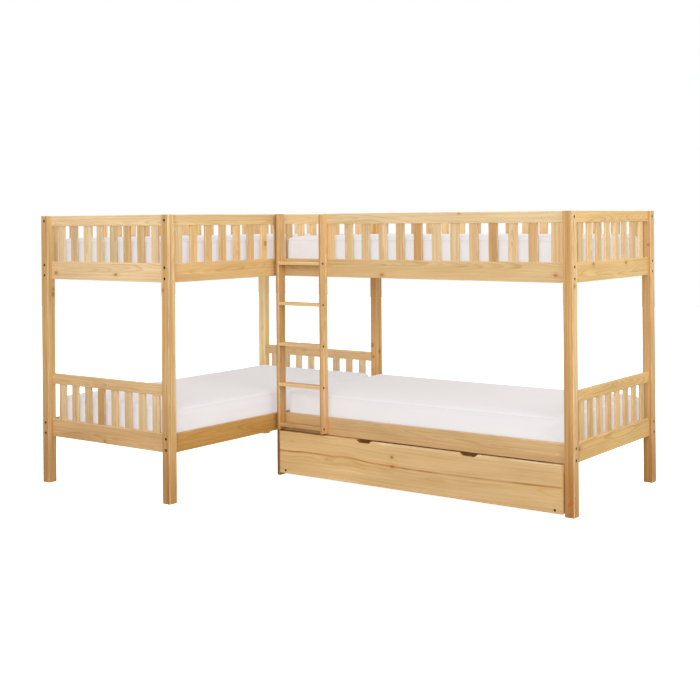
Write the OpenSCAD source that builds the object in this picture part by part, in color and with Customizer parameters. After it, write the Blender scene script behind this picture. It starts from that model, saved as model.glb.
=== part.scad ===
// L shaped bunk bed: two twin bunks at a right angle, built of square pine posts, slatted end
// panels and guards, with a ladder in the corner and a pull-out trundle under the right wing.
// Millimetres, +Z up. The origin is on the floor under the middle of the whole bed, with the backs
// of both wings at the same +Y. The modules below work from the inside corner of the L, where the
// left wing lies at negative X and the right wing at positive X, and from_corner() places them.

/* [Overall] */
// Height of the posts and of the guard tops
bed_h = 1600; // [1500:10:1800]
// Width of each wing over its posts
wing_w = 1075; // [950:5:1300]
// Length of the left wing over its posts
left_l = 2024; // [1900:2:2300]
// Length of the right wing from the inside corner to the outer face of its end posts
right_l = 1985; // [1900:1:2300]
// Underside of the lower side rails above the floor
lower_rail_z = 275; // [260:1:320]

/* [Timber sections] */
// Side of a square post
post_s = 57; // [50:1:62]
// Rounding of the long edges of the posts
post_ease = 4; // [1:0.5:6]
// Thickness of every rail
rail_t = 20; // [18:1:22]
// Height of the side rails and of the lower rails of the end panels
rail_h = 106; // [100:1:116]
// Height of the top rails of guards and end panels
top_rail_h = 62; // [50:1:76]
// Open height between a bottom rail and the top rail above it
panel_gap = 210; // [180:1:220]
// Thickness of the upright slats
slat_t = 12; // [8:0.5:14]
// Width of the upright slats
slat_w = 56; // [40:1:62]
// Rounding of the long edges of rails and slats
board_ease = 2; // [0.5:0.25:3]

/* [Layout] */
// Outer face of the left wing's end rails, behind the outer face of the posts
left_end_inset = 32; // [30:0.5:34]
// Spacing of the slats in the end panels
end_slat_pitch = 113; // [100:1:125]
// Spacing of the slats in the long guards
guard_slat_pitch = 121; // [110:1:130]
// Spacing of the slats in the short guard beside the ladder
front_guard_slat_pitch = 123; // [110:1:130]
// Width of the boards that end each guard
end_board_w = 77; // [60:1:90]
// Least gap between an end board or a post and the next slat
least_end_gap = 40; // [30:1:45]
// Start of the short guard, from the inside corner of the L
front_guard_x = 328; // [322:1:420]
// Depth of the slat mortises in the rails
slat_mortise = 10; // [6:1:14]
// Wood left between the end rails' tenons and the bolts that cross the posts
tenon_wall = 3; // [2:0.5:8]
// Thickness of the end rails' tenons
tenon_t = 12; // [8:1:14]
// Shoulder above and below each tenon
tenon_shoulder = 10; // [6:1:14]

/* [Corner support] */
// Thickness of the board that carries the inside corner
support_t = 20; // [18:1:24]
// Width of that board
support_w = 57; // [50:1:70]

/* [Beds] */
// Top of the mattress slats, below the top of the side rails
slat_top_drop = 40; // [36:1:44]
// Thickness of the mattress slats
bed_slat_t = 16; // [12:1:18]
// Width of the mattress slats
bed_slat_w = 70; // [50:1:90]
// Spacing of the mattress slats
bed_slat_pitch = 143; // [130:1:170]
// Side of the ledgers that carry the mattress slats
ledger_w = 25; // [20:1:30]
// Height of the ledgers
ledger_h = 26; // [20:1:26]
// Length of rail left free at each end of a ledger
ledger_end = 62; // [60:1:90]
// Space between a mattress and the side rails
mattress_side_gap = 4; // [1:0.5:20]
// Space between the left mattresses and the posts at each end
mattress_end_gap = 2.5; // [1:0.5:20]
// Space between the right mattresses and the left wing
mattress_corner_gap = 18.5; // [16:0.5:30]
// Space between the right mattresses and the end posts
mattress_far_gap = 5; // [1:0.5:20]
// Mattress height at its edge
mattress_t = 170; // [120:5:200]
// Height of the crown of a mattress above its edge
mattress_crown = 6; // [2:1:12]
// Corner radius of a mattress
mattress_r = 25; // [20:1:60]
// How far the seams are drawn in from the side of a mattress
mattress_draw = 3; // [1:0.5:6]

/* [Ladder] */
// Left face of the ladder, from the inside corner of the L
ladder_x = 8; // [4:1:10]
// Width of the ladder over its stiles
ladder_w = 348; // [330:1:360]
// Thickness of a ladder stile
stile_t = 18; // [16:1:22]
// Depth of a ladder stile
stile_d = 63; // [55:1:70]
// Foot of the stiles above the underside of the lower rails
ladder_foot = 12; // [8:1:20]
// Top of the stiles below the top of the posts
ladder_drop = 5; // [2:1:20]
// Underside of the lowest rung above the underside of the lower rails
first_rung = 30; // [26:1:40]
// Underside of the highest rung above the underside of the upper rails
top_rung = 69; // [40:1:80]
// Greatest rung spacing
rung_spacing = 250; // [200:5:280]
// Rung thickness
rung_t = 20; // [18:1:24]
// How far the rungs stop short of the back of the stiles
rung_back = 5; // [0:1:15]
// Depth of the rung housings in the stiles
rung_housing = 5; // [3:1:6]

/* [Trundle] */
// Gap between the floor and the trundle front
trundle_floor_gap = 17; // [8:1:20]
// Top of the trundle front below the underside of the rail behind it
trundle_top_gap = 1; // [1:0.5:12]
// How far the trundle front stands ahead of the posts
trundle_proud = 21; // [20.5:0.5:30]
// Gap between the trundle front and the corner support
trundle_left_gap = 4.5; // [3:0.5:10]
// Gap between the trundle front and the end post
trundle_right_gap = 2; // [1:0.5:20]
// Depth of the trundle from its front to its back
trundle_d = 700; // [600:5:720]
// Thickness of the trundle boards
trundle_t = 20; // [18:1:22]
// Height of the trundle's side and back boards
trundle_side_h = 180; // [120:5:190]
// Overhang of the front board beyond each side board
trundle_overhang = 271; // [240:1:330]
// Distance of the upright cleats behind the front board from its ends
cleat_inset = 6; // [4:1:10]
// Width of the cleats
cleat_w = 76; // [60:2:90]
// Height of the cleats
cleat_h = 214; // [180:2:216]
// Height of the batten behind the left part of the front's top edge
batten_h = 40; // [30:1:41]
// Length of front left free at each end of the batten
batten_end = 4; // [3:1:40]
// Centre of the left hand hole from the left end of the front
left_grip_x = 628; // [300:1:800]
// Centre of the right hand hole from the right end of the front
right_grip_x = 575; // [300:1:800]
// Width of a hand hole along the top edge
grip_w = 126; // [110:1:160]
// Depth of a hand hole
grip_d = 17; // [14:1:30]
// Slope of a hand hole's ends
grip_slope = 32; // [12:1:40]
// Radius of a trundle wheel
wheel_r = 30; // [25:1:32]
// Width of a trundle wheel
wheel_w = 18; // [14:1:22]
// Radius of a wheel axle
axle_r = 5; // [4:0.5:6]
// Centre of the wheels from the front or the back of the trundle
wheel_y = 95; // [75:1:150]

/* [Fasteners] */
// Radius of a bed bolt
bolt_r = 3; // [2.5:0.5:4]
// Radius of a bed bolt's head
bolt_head_r = 7.5; // [6:0.5:7.5]
// Height of a bed bolt's head
bolt_head_h = 4; // [3:0.5:5]
// Radius of the counterbores for the heads
counterbore_r = 8.2; // [7.8:0.1:9]
// Depth of the counterbores in the posts
counterbore_d = 5; // [5:1:16]
// Centre of a barrel nut from the end of its rail
nut_reach = 38; // [30:1:45]
// Radius of a barrel nut
nut_r = 5; // [4:0.5:6]
// Centres of the bolts from the top and bottom edges of a side rail
bolt_edge = 22; // [20:0.5:24]

/* [Hidden] */

// Colours
PINE = [0.90, 0.79, 0.60];
PINE_LIGHT = [0.93, 0.84, 0.67];
PINE_WARM = [0.84, 0.68, 0.45];
WHITE = [0.94, 0.93, 0.92];
STEEL = [0.25, 0.22, 0.20];
BLACK = [0.12, 0.12, 0.12];

// Segments of a quarter turn of an eased edge, and of round holes
ease_steps = 3;
round_fn = 40;
// Clearance of a slat or tenon in its mortise
wood_fit = 0.2;
// Clearance of a bolt in its hole and of a barrel nut on its bolt
bolt_fit = 0.2;
nut_fit = 0.05;
// Clearance of soft parts
soft_gap = 0.3;
// Running clearances of a wheel on its axle, radial and to each side
wheel_fit = 0.05;
wheel_side_gap = 0.5;
// A cut runs this far past the face that it opens
past = 1;
// The trundle's axles are this far above the lower edge of its side boards
axle_edge = 14;
// Play between the ends of the mattress slats and the side rails
slat_end_gap = 2;
// The lower corner bolts sit near the rail's lower edge, clear of the ledger on its inner face
corner_bolt_edge = 13;
// Barrel nuts stop this far below the inner face of a rail
nut_sink = 1;
// Wood left behind a barrel nut's bore
nut_floor = 3;

// Levels and faces worked out from the sizes above
panel_h = rail_h + panel_gap + top_rail_h;
side_inset = (post_s - rail_t) / 2;
tenon_l = post_s / 2 - bolt_r - bolt_fit - tenon_wall;
upper_rail_z = bed_h - panel_h;
left_clear_l = left_l - 2 * post_s;
wing_clear_w = wing_w - 2 * post_s;
left_front_y = wing_w - left_l;
support_x1 = support_t - side_inset;
rail_inner = side_inset + rail_t;
deck_drop = slat_top_drop + bed_slat_t;
trundle_x0 = support_x1 + trundle_left_gap;
trundle_x1 = right_l - post_s - trundle_right_gap;
trundle_z1 = lower_rail_z - trundle_top_gap;
trundle_z0 = trundle_floor_gap;
trundle_side_z0 = wheel_r - axle_edge;
right_front_l = right_l - post_s - support_x1;
right_back_l = right_l - post_s;
front_guard_0 = front_guard_x - support_x1;
left_mattress_l = left_clear_l - 2 * mattress_end_gap;
right_mattress_l = right_back_l - mattress_far_gap + side_inset - mattress_corner_gap;
mattress_w = wing_w - 2 * rail_inner - 2 * mattress_side_gap;
guard_z0 = upper_rail_z + rail_h;
guard_z1 = bed_h - top_rail_h;
foot_z = guard_z0 - slat_mortise;
head_z = guard_z1 + slat_mortise;
guard_bolt_z = bed_h - top_rail_h / 2;

// Outline of a w by h rectangle with eased corners, its lower left corner at the origin
function eased(w, h, r) = [for (c = [0 : 3], s = [0 : ease_steps])
  let (a = 180 + 90 * c + 90 * s / ease_steps,
       cx = (c == 0 || c == 3) ? r : w - r,
       cy = (c < 2) ? r : h - r)
  [cx + r * cos(a), cy + r * sin(a)]];

// How many slats of the given pitch stand in a clear length, and where the first begins
function slat_n(clear, pitch) = floor((clear - slat_w - 2 * least_end_gap) / pitch) + 1;
function slat_0(clear, pitch) = (clear - slat_w - (slat_n(clear, pitch) - 1) * pitch) / 2;

// A board along +X, t thick from y = 0 and h high from z = 0, with eased long edges
module board(l, t, h, r = board_ease) {
  rotate([90, 0, 90])
    linear_extrude(height = l)
      polygon(eased(t, h, r));
}

// An upright of the given section
module upright(w, d, h, r) {
  linear_extrude(height = h)
    polygon(eased(w, d, r));
}

// Moves the trundle to its place, its front ahead of the posts
module at_trundle() {
  from_corner()
    translate([0, -trundle_proud, 0])
      children();
}

// Moves what is drawn from the inside corner of the L to the bed's own origin
module from_corner() {
  translate([(wing_w - right_l) / 2, left_l / 2 - wing_w, 0])
    children();
}

// ---- Places. In each, +X runs along the rail, y = 0 is its outer face and +Y points inside.

module at_left_outer() {
  translate([side_inset - wing_w, left_front_y + post_s, 0])
    mirror([1, -1, 0])
      children();
}

module at_left_inner() {
  translate([-side_inset, left_front_y + post_s, 0])
    rotate([0, 0, 90])
      children();
}

module at_right_front() {
  translate([support_x1, side_inset, 0])
    children();
}

module at_right_back() {
  translate([0, wing_w - side_inset, 0])
    mirror([0, 1, 0])
      children();
}

module at_left_front_end() {
  translate([post_s - wing_w, left_front_y + left_end_inset, 0])
    children();
}

module at_left_back_end() {
  translate([post_s - wing_w, wing_w - left_end_inset, 0])
    mirror([0, 1, 0])
      children();
}

module at_right_end() {
  translate([right_l - side_inset, post_s, 0])
    rotate([0, 0, 90])
      children();
}

// ---- Bolts: a bolt along +X that enters a rail at x = 0 after passing a grip of other wood

module bolt_shape(grip, sunk) {
  tail = nut_reach + nut_r + 3;
  rotate([0, 90, 0]) {
    difference() {
      translate([0, 0, sunk - grip - bolt_head_h])
        cylinder(h = bolt_head_h, r = bolt_head_r, $fn = round_fn);
      translate([0, 0, sunk - grip - bolt_head_h - past])
        cylinder(h = past + bolt_head_h / 2, r = bolt_r, $fn = 6);
    }
    translate([0, 0, sunk - grip])
      cylinder(h = grip - sunk + tail, r = bolt_r, $fn = round_fn);
  }
}

module bolt_cut(grip, sunk) {
  tail = nut_reach + nut_r + 4;
  rotate([0, 90, 0]) {
    translate([0, 0, -grip - past])
      cylinder(h = sunk + past, r = counterbore_r, $fn = round_fn);
    translate([0, 0, -grip])
      cylinder(h = grip + tail, r = bolt_r + bolt_fit, $fn = round_fn);
  }
}

// The barrel nut stands across the rail, a little below its inner face
module nut_shape() {
  translate([nut_reach, 0, 0])
    difference() {
      translate([0, nut_floor, 0])
        rotate([-90, 0, 0])
          cylinder(h = rail_t - nut_sink - nut_floor, r = nut_r, $fn = round_fn);
      translate([0, rail_t / 2, 0])
        rotate([0, 90, 0])
          cylinder(h = 4 * nut_r, r = bolt_r + nut_fit, center = true, $fn = round_fn);
    }
}

module nut_cut() {
  translate([nut_reach, nut_floor, 0])
    rotate([-90, 0, 0])
      cylinder(h = rail_t, r = nut_r + nut_fit, $fn = round_fn);
}

// Heights of the bolts in a side rail, and in the guard rail above the upper one
function rail_bolt_z(z, low) = [z + low, z + rail_h - bolt_edge];
function standard_z() = concat(rail_bolt_z(lower_rail_z, bolt_edge),
  rail_bolt_z(upper_rail_z, bolt_edge), [guard_bolt_z]);
function corner_z() = concat(rail_bolt_z(lower_rail_z, corner_bolt_edge),
  rail_bolt_z(upper_rail_z, corner_bolt_edge));
corner_grip = rail_t + support_t;
corner_sunk = bolt_head_h + 1;

// Repeats a bolt, nut or cut at each height, at the start (x = 0) or mirrored at the end (x = l)
module at_heights(zs) {
  for (z = zs)
    translate([0, rail_t / 2, z])
      children();
}

module at_nut_heights(zs) {
  for (z = zs)
    translate([0, 0, z])
      children();
}

module from_end(l) {
  translate([l, 0, 0])
    mirror([1, 0, 0])
      children();
}

// ---- Posts

module post(x, y) {
  translate([x, y, 0])
    upright(post_s, post_s, bed_h, post_ease);
}

// The blind mortises that one end of a panel's four rails needs in its post
module tenon_cuts() {
  for (z = panel_rail_z())
    translate([-tenon_l, (rail_t - tenon_t) / 2 - wood_fit, z[0] + tenon_shoulder - wood_fit])
      cube([tenon_l + past, tenon_t + 2 * wood_fit, z[1] - 2 * tenon_shoulder + 2 * wood_fit]);
}

module post_left_front_outer() {
  color(PINE) difference() {
    post(-wing_w, left_front_y);
    at_left_outer() at_heights(standard_z()) bolt_cut(post_s, counterbore_d);
    at_left_front_end() tenon_cuts();
  }
}

module post_left_front_inner() {
  color(PINE) difference() {
    post(-post_s, left_front_y);
    at_left_inner() at_heights(standard_z()) bolt_cut(post_s, counterbore_d);
    at_left_front_end() from_end(wing_clear_w) tenon_cuts();
  }
}

module post_left_back_outer() {
  color(PINE) difference() {
    post(-wing_w, wing_w - post_s);
    at_left_outer() from_end(left_clear_l) at_heights(standard_z()) bolt_cut(post_s, counterbore_d);
    at_left_back_end() tenon_cuts();
  }
}

module post_left_back_inner() {
  color(PINE) difference() {
    post(-post_s, wing_w - post_s);
    at_left_inner() from_end(left_clear_l) at_heights(standard_z()) bolt_cut(post_s, counterbore_d);
    at_post_screws() screw_cut(post_screw_l);
    at_left_back_end() from_end(wing_clear_w) tenon_cuts();
  }
}

module post_right_front() {
  color(PINE) difference() {
    post(right_l - post_s, 0);
    at_right_front() from_end(right_front_l) at_heights(standard_z()) bolt_cut(post_s, counterbore_d);
    at_right_end() tenon_cuts();
  }
}

module post_right_back() {
  color(PINE) difference() {
    post(right_l - post_s, wing_w - post_s);
    at_right_back() from_end(right_back_l) at_heights(standard_z()) bolt_cut(post_s, counterbore_d);
    at_right_end() from_end(wing_clear_w) tenon_cuts();
  }
}

// The board that stands in the recess of the left wing's inner side and carries the corner
module corner_support() {
  color(PINE_WARM) difference() {
    translate([-side_inset, -side_inset, 0])
      upright(support_t, support_w, bed_h, board_ease);
    at_right_front() at_heights(corner_z()) bolt_cut(corner_grip, corner_sunk);
  }
}

// ---- Side rails and guards

// Slats and mortises of a guard or panel from x = 0 to clear
module slat_row(clear, pitch, z0, z1, grow = 0) {
  for (i = [0 : slat_n(clear, pitch) - 1])
    translate([slat_0(clear, pitch) + i * pitch - grow, (rail_t - slat_t) / 2 - grow, z0])
      upright(slat_w + 2 * grow, slat_t + 2 * grow, z1 - z0, board_ease + grow);
}

module end_boards(l, z0, z1, grow = 0) {
  for (x = [0, l - end_board_w])
    translate([x - grow, (rail_t - slat_t) / 2 - grow, z0])
      upright(end_board_w + 2 * grow, slat_t + 2 * grow, z1 - z0, board_ease + grow);
}

// The slats of a guard l long, between its end boards
module guard_slats(l, pitch, grow = 0) {
  translate([end_board_w, 0, 0])
    slat_row(l - 2 * end_board_w, pitch, foot_z, head_z, grow);
}

module guard_mortises(l, pitch) {
  guard_slats(l, pitch, wood_fit);
  end_boards(l, foot_z, head_z, wood_fit);
}

// An upper side rail: mortised along its top edge for the guard that stands on it
module upper_rail(l, guard_0, pitch, start_z, end_z) {
  difference() {
    translate([0, 0, upper_rail_z])
      board(l, rail_t, rail_h);
    translate([guard_0, 0, 0])
      guard_mortises(l - guard_0, pitch);
    rail_end_cuts(start_z, upper_rail_z);
    from_end(l) rail_end_cuts(end_z, upper_rail_z);
  }
}

module lower_rail(l, start_z, end_z) {
  difference() {
    translate([0, 0, lower_rail_z])
      board(l, rail_t, rail_h);
    rail_end_cuts(start_z, lower_rail_z);
    from_end(l) rail_end_cuts(end_z, lower_rail_z);
  }
}

// The bolt and nut bores that fall in the rail whose underside is at z0
module rail_end_cuts(zs, z0) {
  here = [for (z = zs) if (z > z0 && z < z0 + rail_h) z];
  at_heights(here) bolt_cut(past, 0);
  at_nut_heights(here) nut_cut();
}

module guard_rail(l, pitch, zs_start, zs_end) {
  difference() {
    translate([0, 0, guard_z1])
      board(l, rail_t, top_rail_h);
    guard_mortises(l, pitch);
    guard_end_cuts(zs_start);
    from_end(l) guard_end_cuts(zs_end);
  }
}

module guard_end_cuts(zs) {
  here = [for (z = zs) if (z > guard_z1) z];
  at_heights(here) bolt_cut(past, 0);
  at_nut_heights(here) nut_cut();
}

module left_upper_outer_rail() {
  color(PINE) at_left_outer()
    upper_rail(left_clear_l, 0, guard_slat_pitch, standard_z(), standard_z());
}

// The inner rails of the left wing also take the bolts that hold the right wing's front
module corner_bolt_cuts() {
  at_right_front() at_heights(corner_z()) bolt_cut(corner_grip, corner_sunk);
}

module ladder_screw_cuts() {
  at_ladder_screws() screw_cut(ladder_screw_l);
}

module left_upper_inner_rail() {
  color(PINE) difference() {
    at_left_inner()
      upper_rail(left_clear_l, 0, guard_slat_pitch, standard_z(), standard_z());
    corner_bolt_cuts();
  }
}

module left_lower_outer_rail() {
  color(PINE) at_left_outer() lower_rail(left_clear_l, standard_z(), standard_z());
}

module left_lower_inner_rail() {
  color(PINE_WARM) difference() {
    at_left_inner() lower_rail(left_clear_l, standard_z(), standard_z());
    corner_bolt_cuts();
  }
}

module right_upper_front_rail() {
  color(PINE) difference() {
    at_right_front()
      upper_rail(right_front_l, front_guard_0, front_guard_slat_pitch, corner_z(), standard_z());
    ladder_screw_cuts();
  }
}

module right_upper_back_rail() {
  color(PINE) difference() {
    at_right_back() upper_rail(right_back_l, 0, guard_slat_pitch, [], standard_z());
    at_post_screws() screw_cut(post_screw_l);
  }
}

module right_lower_front_rail() {
  color(PINE) difference() {
    at_right_front() lower_rail(right_front_l, corner_z(), standard_z());
    ladder_screw_cuts();
  }
}

module right_lower_back_rail() {
  color(PINE) difference() {
    at_right_back() lower_rail(right_back_l, [], standard_z());
    at_post_screws() screw_cut(post_screw_l);
  }
}

module left_outer_guard_rail() {
  color(PINE) at_left_outer()
    guard_rail(left_clear_l, guard_slat_pitch, standard_z(), standard_z());
}

module left_inner_guard_rail() {
  color(PINE) at_left_inner()
    guard_rail(left_clear_l, guard_slat_pitch, standard_z(), standard_z());
}

module right_front_guard_rail() {
  color(PINE) at_right_front() translate([front_guard_0, 0, 0])
    guard_rail(right_front_l - front_guard_0, front_guard_slat_pitch, [], standard_z());
}

module right_back_guard_rail() {
  color(PINE) difference() {
    at_right_back() guard_rail(right_back_l, guard_slat_pitch, [], standard_z());
    at_post_screws() screw_cut(post_screw_l);
  }
}

module left_outer_guard_slats() {
  color(PINE_LIGHT) at_left_outer() guard_slats(left_clear_l, guard_slat_pitch);
}

module left_inner_guard_slats() {
  color(PINE_WARM) at_left_inner() guard_slats(left_clear_l, guard_slat_pitch);
}

module right_front_guard_slats() {
  color(PINE_LIGHT) at_right_front() translate([front_guard_0, 0, 0])
    guard_slats(right_front_l - front_guard_0, front_guard_slat_pitch);
}

module right_back_guard_slats() {
  color(PINE_WARM) at_right_back() guard_slats(right_back_l, guard_slat_pitch);
}

module guard_end_boards() {
  color(PINE) {
    at_left_outer() end_boards(left_clear_l, foot_z, head_z);
    at_left_inner() end_boards(left_clear_l, foot_z, head_z);
    at_right_front() translate([front_guard_0, 0, 0])
      end_boards(right_front_l - front_guard_0, foot_z, head_z);
    at_right_back() end_boards(right_back_l, foot_z, head_z);
  }
}

// ---- End panels: an upper and a lower pair of rails between two posts, with slats between

// Underside and height of each of the four rails of an end panel
function panel_rail_z() = [for (z = [lower_rail_z, upper_rail_z], top = [0, 1])
  [z + top * (rail_h + panel_gap), top ? top_rail_h : rail_h]];

module panel_rails() {
  difference() {
    for (z = panel_rail_z()) {
      translate([0, 0, z[0]])
        board(wing_clear_w, rail_t, z[1]);
      translate([-tenon_l, (rail_t - tenon_t) / 2, z[0] + tenon_shoulder])
        cube([wing_clear_w + 2 * tenon_l, tenon_t, z[1] - 2 * tenon_shoulder]);
    }
    panel_slats(lower_rail_z, wood_fit);
    panel_slats(upper_rail_z, wood_fit);
  }
}

module panel_slats(z, grow = 0) {
  slat_row(wing_clear_w, end_slat_pitch, z + rail_h - slat_mortise,
    z + rail_h + panel_gap + slat_mortise, grow);
}

module left_front_panel_rails() {
  color(PINE) at_left_front_end() panel_rails();
}

module left_back_panel_rails() {
  color(PINE) at_left_back_end() panel_rails();
}

module right_end_panel_rails() {
  color(PINE_LIGHT) at_right_end() panel_rails();
}

module left_front_upper_slats() {
  color(PINE_WARM) at_left_front_end() panel_slats(upper_rail_z);
}

module left_front_lower_slats() {
  color(PINE_WARM) at_left_front_end() panel_slats(lower_rail_z);
}

module left_back_upper_slats() {
  color(PINE_WARM) at_left_back_end() panel_slats(upper_rail_z);
}

module left_back_lower_slats() {
  color(PINE_WARM) at_left_back_end() panel_slats(lower_rail_z);
}

module right_end_upper_slats() {
  color(PINE_LIGHT) at_right_end() panel_slats(upper_rail_z);
}

module right_end_lower_slats() {
  color(PINE_LIGHT) at_right_end() panel_slats(lower_rail_z);
}

// ---- Mattress slats on their ledgers

// One ledger on the inner face of the rail whose top is at z
module ledger(l, z) {
  translate([ledger_end, rail_t, z - deck_drop - ledger_h])
    cube([l - 2 * ledger_end, ledger_w, ledger_h]);
}

module slat_ledgers() {
  color(PINE_WARM)
    for (z = [lower_rail_z + rail_h, upper_rail_z + rail_h]) {
      at_left_outer() ledger(left_clear_l, z);
      at_left_inner() ledger(left_clear_l, z);
      at_right_front() ledger(right_front_l, z);
      at_right_back() ledger(right_back_l, z);
    }
}

// A deck of slats across a wing, spread along +X over the length of its ledgers
module bed_slats(l, z) {
  span = l - 2 * ledger_end;
  n = floor((span - bed_slat_w) / bed_slat_pitch) + 1;
  first = ledger_end + (span - bed_slat_w - (n - 1) * bed_slat_pitch) / 2;
  slat_l = wing_w - 2 * rail_inner - 2 * slat_end_gap;
  for (i = [0 : n - 1])
    translate([first + i * bed_slat_pitch + bed_slat_w, rail_t + slat_end_gap, z - deck_drop])
      rotate([0, 0, 90])
        board(slat_l, bed_slat_w, bed_slat_t);
}

module left_upper_bed_slats() {
  color(PINE_LIGHT) at_left_outer() bed_slats(left_clear_l, upper_rail_z + rail_h);
}

module left_lower_bed_slats() {
  color(PINE_LIGHT) at_left_outer() bed_slats(left_clear_l, lower_rail_z + rail_h);
}

module right_upper_bed_slats() {
  color(PINE_LIGHT) at_right_front() bed_slats(right_front_l, upper_rail_z + rail_h);
}

module right_lower_bed_slats() {
  color(PINE_LIGHT) at_right_front() bed_slats(right_front_l, lower_rail_z + rail_h);
}

// ---- Mattresses: rounded corners, seams drawn in above and below a full side, a low crown

corner_steps = 7;

// Outline of a ring of a mattress l long, inset from the full size
function ring(l, inset, z) =
  let (w = l / 2 - inset, d = mattress_w / 2 - inset, r = max(mattress_r - inset, 6))
  [for (c = [0 : 3], s = [0 : corner_steps])
    let (a = 90 * c + 90 * s / corner_steps,
         cx = (c == 0 || c == 3) ? w - r : r - w,
         cy = (c < 2) ? d - r : r - d)
    [cx + r * cos(a), cy + r * sin(a), z]];

// Inset and height of each ring, from the underside to the crown
function mattress_profile() = let (t = mattress_t, s = mattress_draw, c = mattress_crown) [
  [220, 0], [14, 0], [5, 2], [1.5, 8], [s, 15], [0.8, t * 0.22], [0, t * 0.5],
  [0.8, t * 0.78], [s, t - 15], [1.5, t - 8], [5, t - 2], [14, t], [60, t + c * 0.55],
  [160, t + c * 0.85], [300, t + c]];

module mattress_form(l) {
  profile = mattress_profile();
  rings = len(profile);
  n = 4 * (corner_steps + 1);
  points = concat([for (p = profile) each ring(l, p[0], p[1])],
    [[0, 0, 0], [0, 0, mattress_t + mattress_crown]]);
  sides = [for (k = [0 : rings - 2], i = [0 : n - 1], half = [0, 1])
    let (a = k * n + i, b = k * n + (i + 1) % n)
    half == 0 ? [a, a + n, b + n] : [a, b + n, b]];
  bottom = [for (i = [0 : n - 1]) [rings * n, i, (i + 1) % n]];
  top = [for (i = [0 : n - 1])
    [rings * n + 1, (rings - 1) * n + (i + 1) % n, (rings - 1) * n + i]];
  polyhedron(points = points, faces = concat(sides, bottom, top));
}

left_mattress_at = [-wing_w / 2, left_front_y + left_l / 2];
right_mattress_at = [right_back_l - mattress_far_gap - right_mattress_l / 2, wing_w / 2];

module mattress_z(z) {
  translate([0, 0, z + rail_h - slat_top_drop + soft_gap])
    children();
}

module left_mattress(z) {
  color(WHITE) mattress_z(z)
    translate([left_mattress_at.x, left_mattress_at.y, 0])
      rotate([0, 0, 90])
        mattress_form(left_mattress_l);
}

module right_mattress(z) {
  color(WHITE) mattress_z(z)
    translate([right_mattress_at.x, right_mattress_at.y, 0])
      mattress_form(right_mattress_l);
}

module left_upper_mattress() {
  left_mattress(upper_rail_z);
}

module left_lower_mattress() {
  left_mattress(lower_rail_z);
}

module right_upper_mattress() {
  right_mattress(upper_rail_z);
}

module right_lower_mattress() {
  right_mattress(lower_rail_z);
}

// ---- Ladder

ladder_y = side_inset - stile_d;
ladder_z0 = lower_rail_z + ladder_foot;
ladder_z1 = bed_h - ladder_drop;
rung_z0 = lower_rail_z + first_rung;
rung_clear = ladder_w - 2 * stile_t;
rung_d = stile_d - rung_back;
rung_rise = upper_rail_z + top_rung - rung_z0;
rung_count = ceil(rung_rise / rung_spacing) + 1;
rung_pitch = rung_rise / (rung_count - 1);

module ladder_stile(x) {
  translate([x, ladder_y, ladder_z0])
    upright(stile_t, stile_d, ladder_z1 - ladder_z0, 3);
}

module rungs(grow = 0) {
  for (i = [0 : rung_count - 1])
    translate([ladder_x + stile_t - rung_housing, ladder_y - grow, rung_z0 + i * rung_pitch - grow])
      board(rung_clear + 2 * rung_housing, rung_d + 2 * grow, rung_t + 2 * grow, 3 + grow);
}

module ladder_left_stile() {
  color(PINE) difference() {
    ladder_stile(ladder_x);
    rungs(wood_fit);
    at_rung_screws(0) screw_cut(rung_screw_l, wide_head_r);
    ladder_screw_cuts();
  }
}

module ladder_right_stile() {
  color(PINE) difference() {
    ladder_stile(ladder_x + ladder_w - stile_t);
    rungs(wood_fit);
    at_rung_screws(1) screw_cut(rung_screw_l, wide_head_r);
    ladder_screw_cuts();
  }
}

module ladder_rungs() {
  color(PINE) difference() {
    rungs();
    at_rung_screws(0) screw_cut(rung_screw_l, wide_head_r);
    at_rung_screws(1) screw_cut(rung_screw_l, wide_head_r);
  }
}

// ---- Wood screws: the head's outer face is at z = 0 and the screw runs along -Z

screw_r = 2.25;
screw_head_r = 4.5;
screw_head_h = 3.5;
screw_sink = 1;
// The screws of the rungs and cleats show, and have wider heads
wide_head_r = 7;
rung_screw_l = 50;
ladder_screw_l = 52;
trundle_screw_l = 55;
post_screw_l = post_s + 43;
// Ladder screws, below the top of the rails and above the ledgers
ladder_screw_drop = 48;
// Post screws, from the middle of the rails: up and down, and towards the back
post_screw_dz = 15;
post_screw_dy = 4.5;
// Rung screws sit this far behind the front of the stiles
rung_screw_y = 19;

module screw_shape(l, head_r = screw_head_r) {
  difference() {
    translate([0, 0, -screw_head_h])
      cylinder(h = screw_head_h, r = head_r, $fn = round_fn);
    translate([0, 0, -screw_head_h / 2])
      cylinder(h = screw_head_h, r = screw_r - 0.25, $fn = 6);
  }
  translate([0, 0, -l])
    cylinder(h = l - screw_head_h, r = screw_r, $fn = round_fn);
}

module screw_cut(l, head_r = screw_head_r) {
  translate([0, 0, -screw_head_h])
    cylinder(h = screw_head_h + screw_sink + past, r = head_r + 0.3, $fn = round_fn);
  translate([0, 0, -l - past])
    cylinder(h = l, r = screw_r + nut_fit, $fn = round_fn);
}

module at_rung_screws(side) {
  for (i = [0 : rung_count - 1])
    translate([ladder_x + side * ladder_w, ladder_y + rung_screw_y,
        rung_z0 + i * rung_pitch + rung_t / 2])
      rotate([0, side ? 90 : -90, 0])
        translate([0, 0, -screw_sink])
          children();
}

// One screw through each front rail from inside into each stile
module at_ladder_screws() {
  for (x = [ladder_x + stile_t / 2, ladder_x + ladder_w - stile_t / 2],
       z = [lower_rail_z, upper_rail_z])
    translate([x, rail_inner - screw_sink, z + rail_h - ladder_screw_drop])
      rotate([-90, 0, 0])
        children();
}

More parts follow.
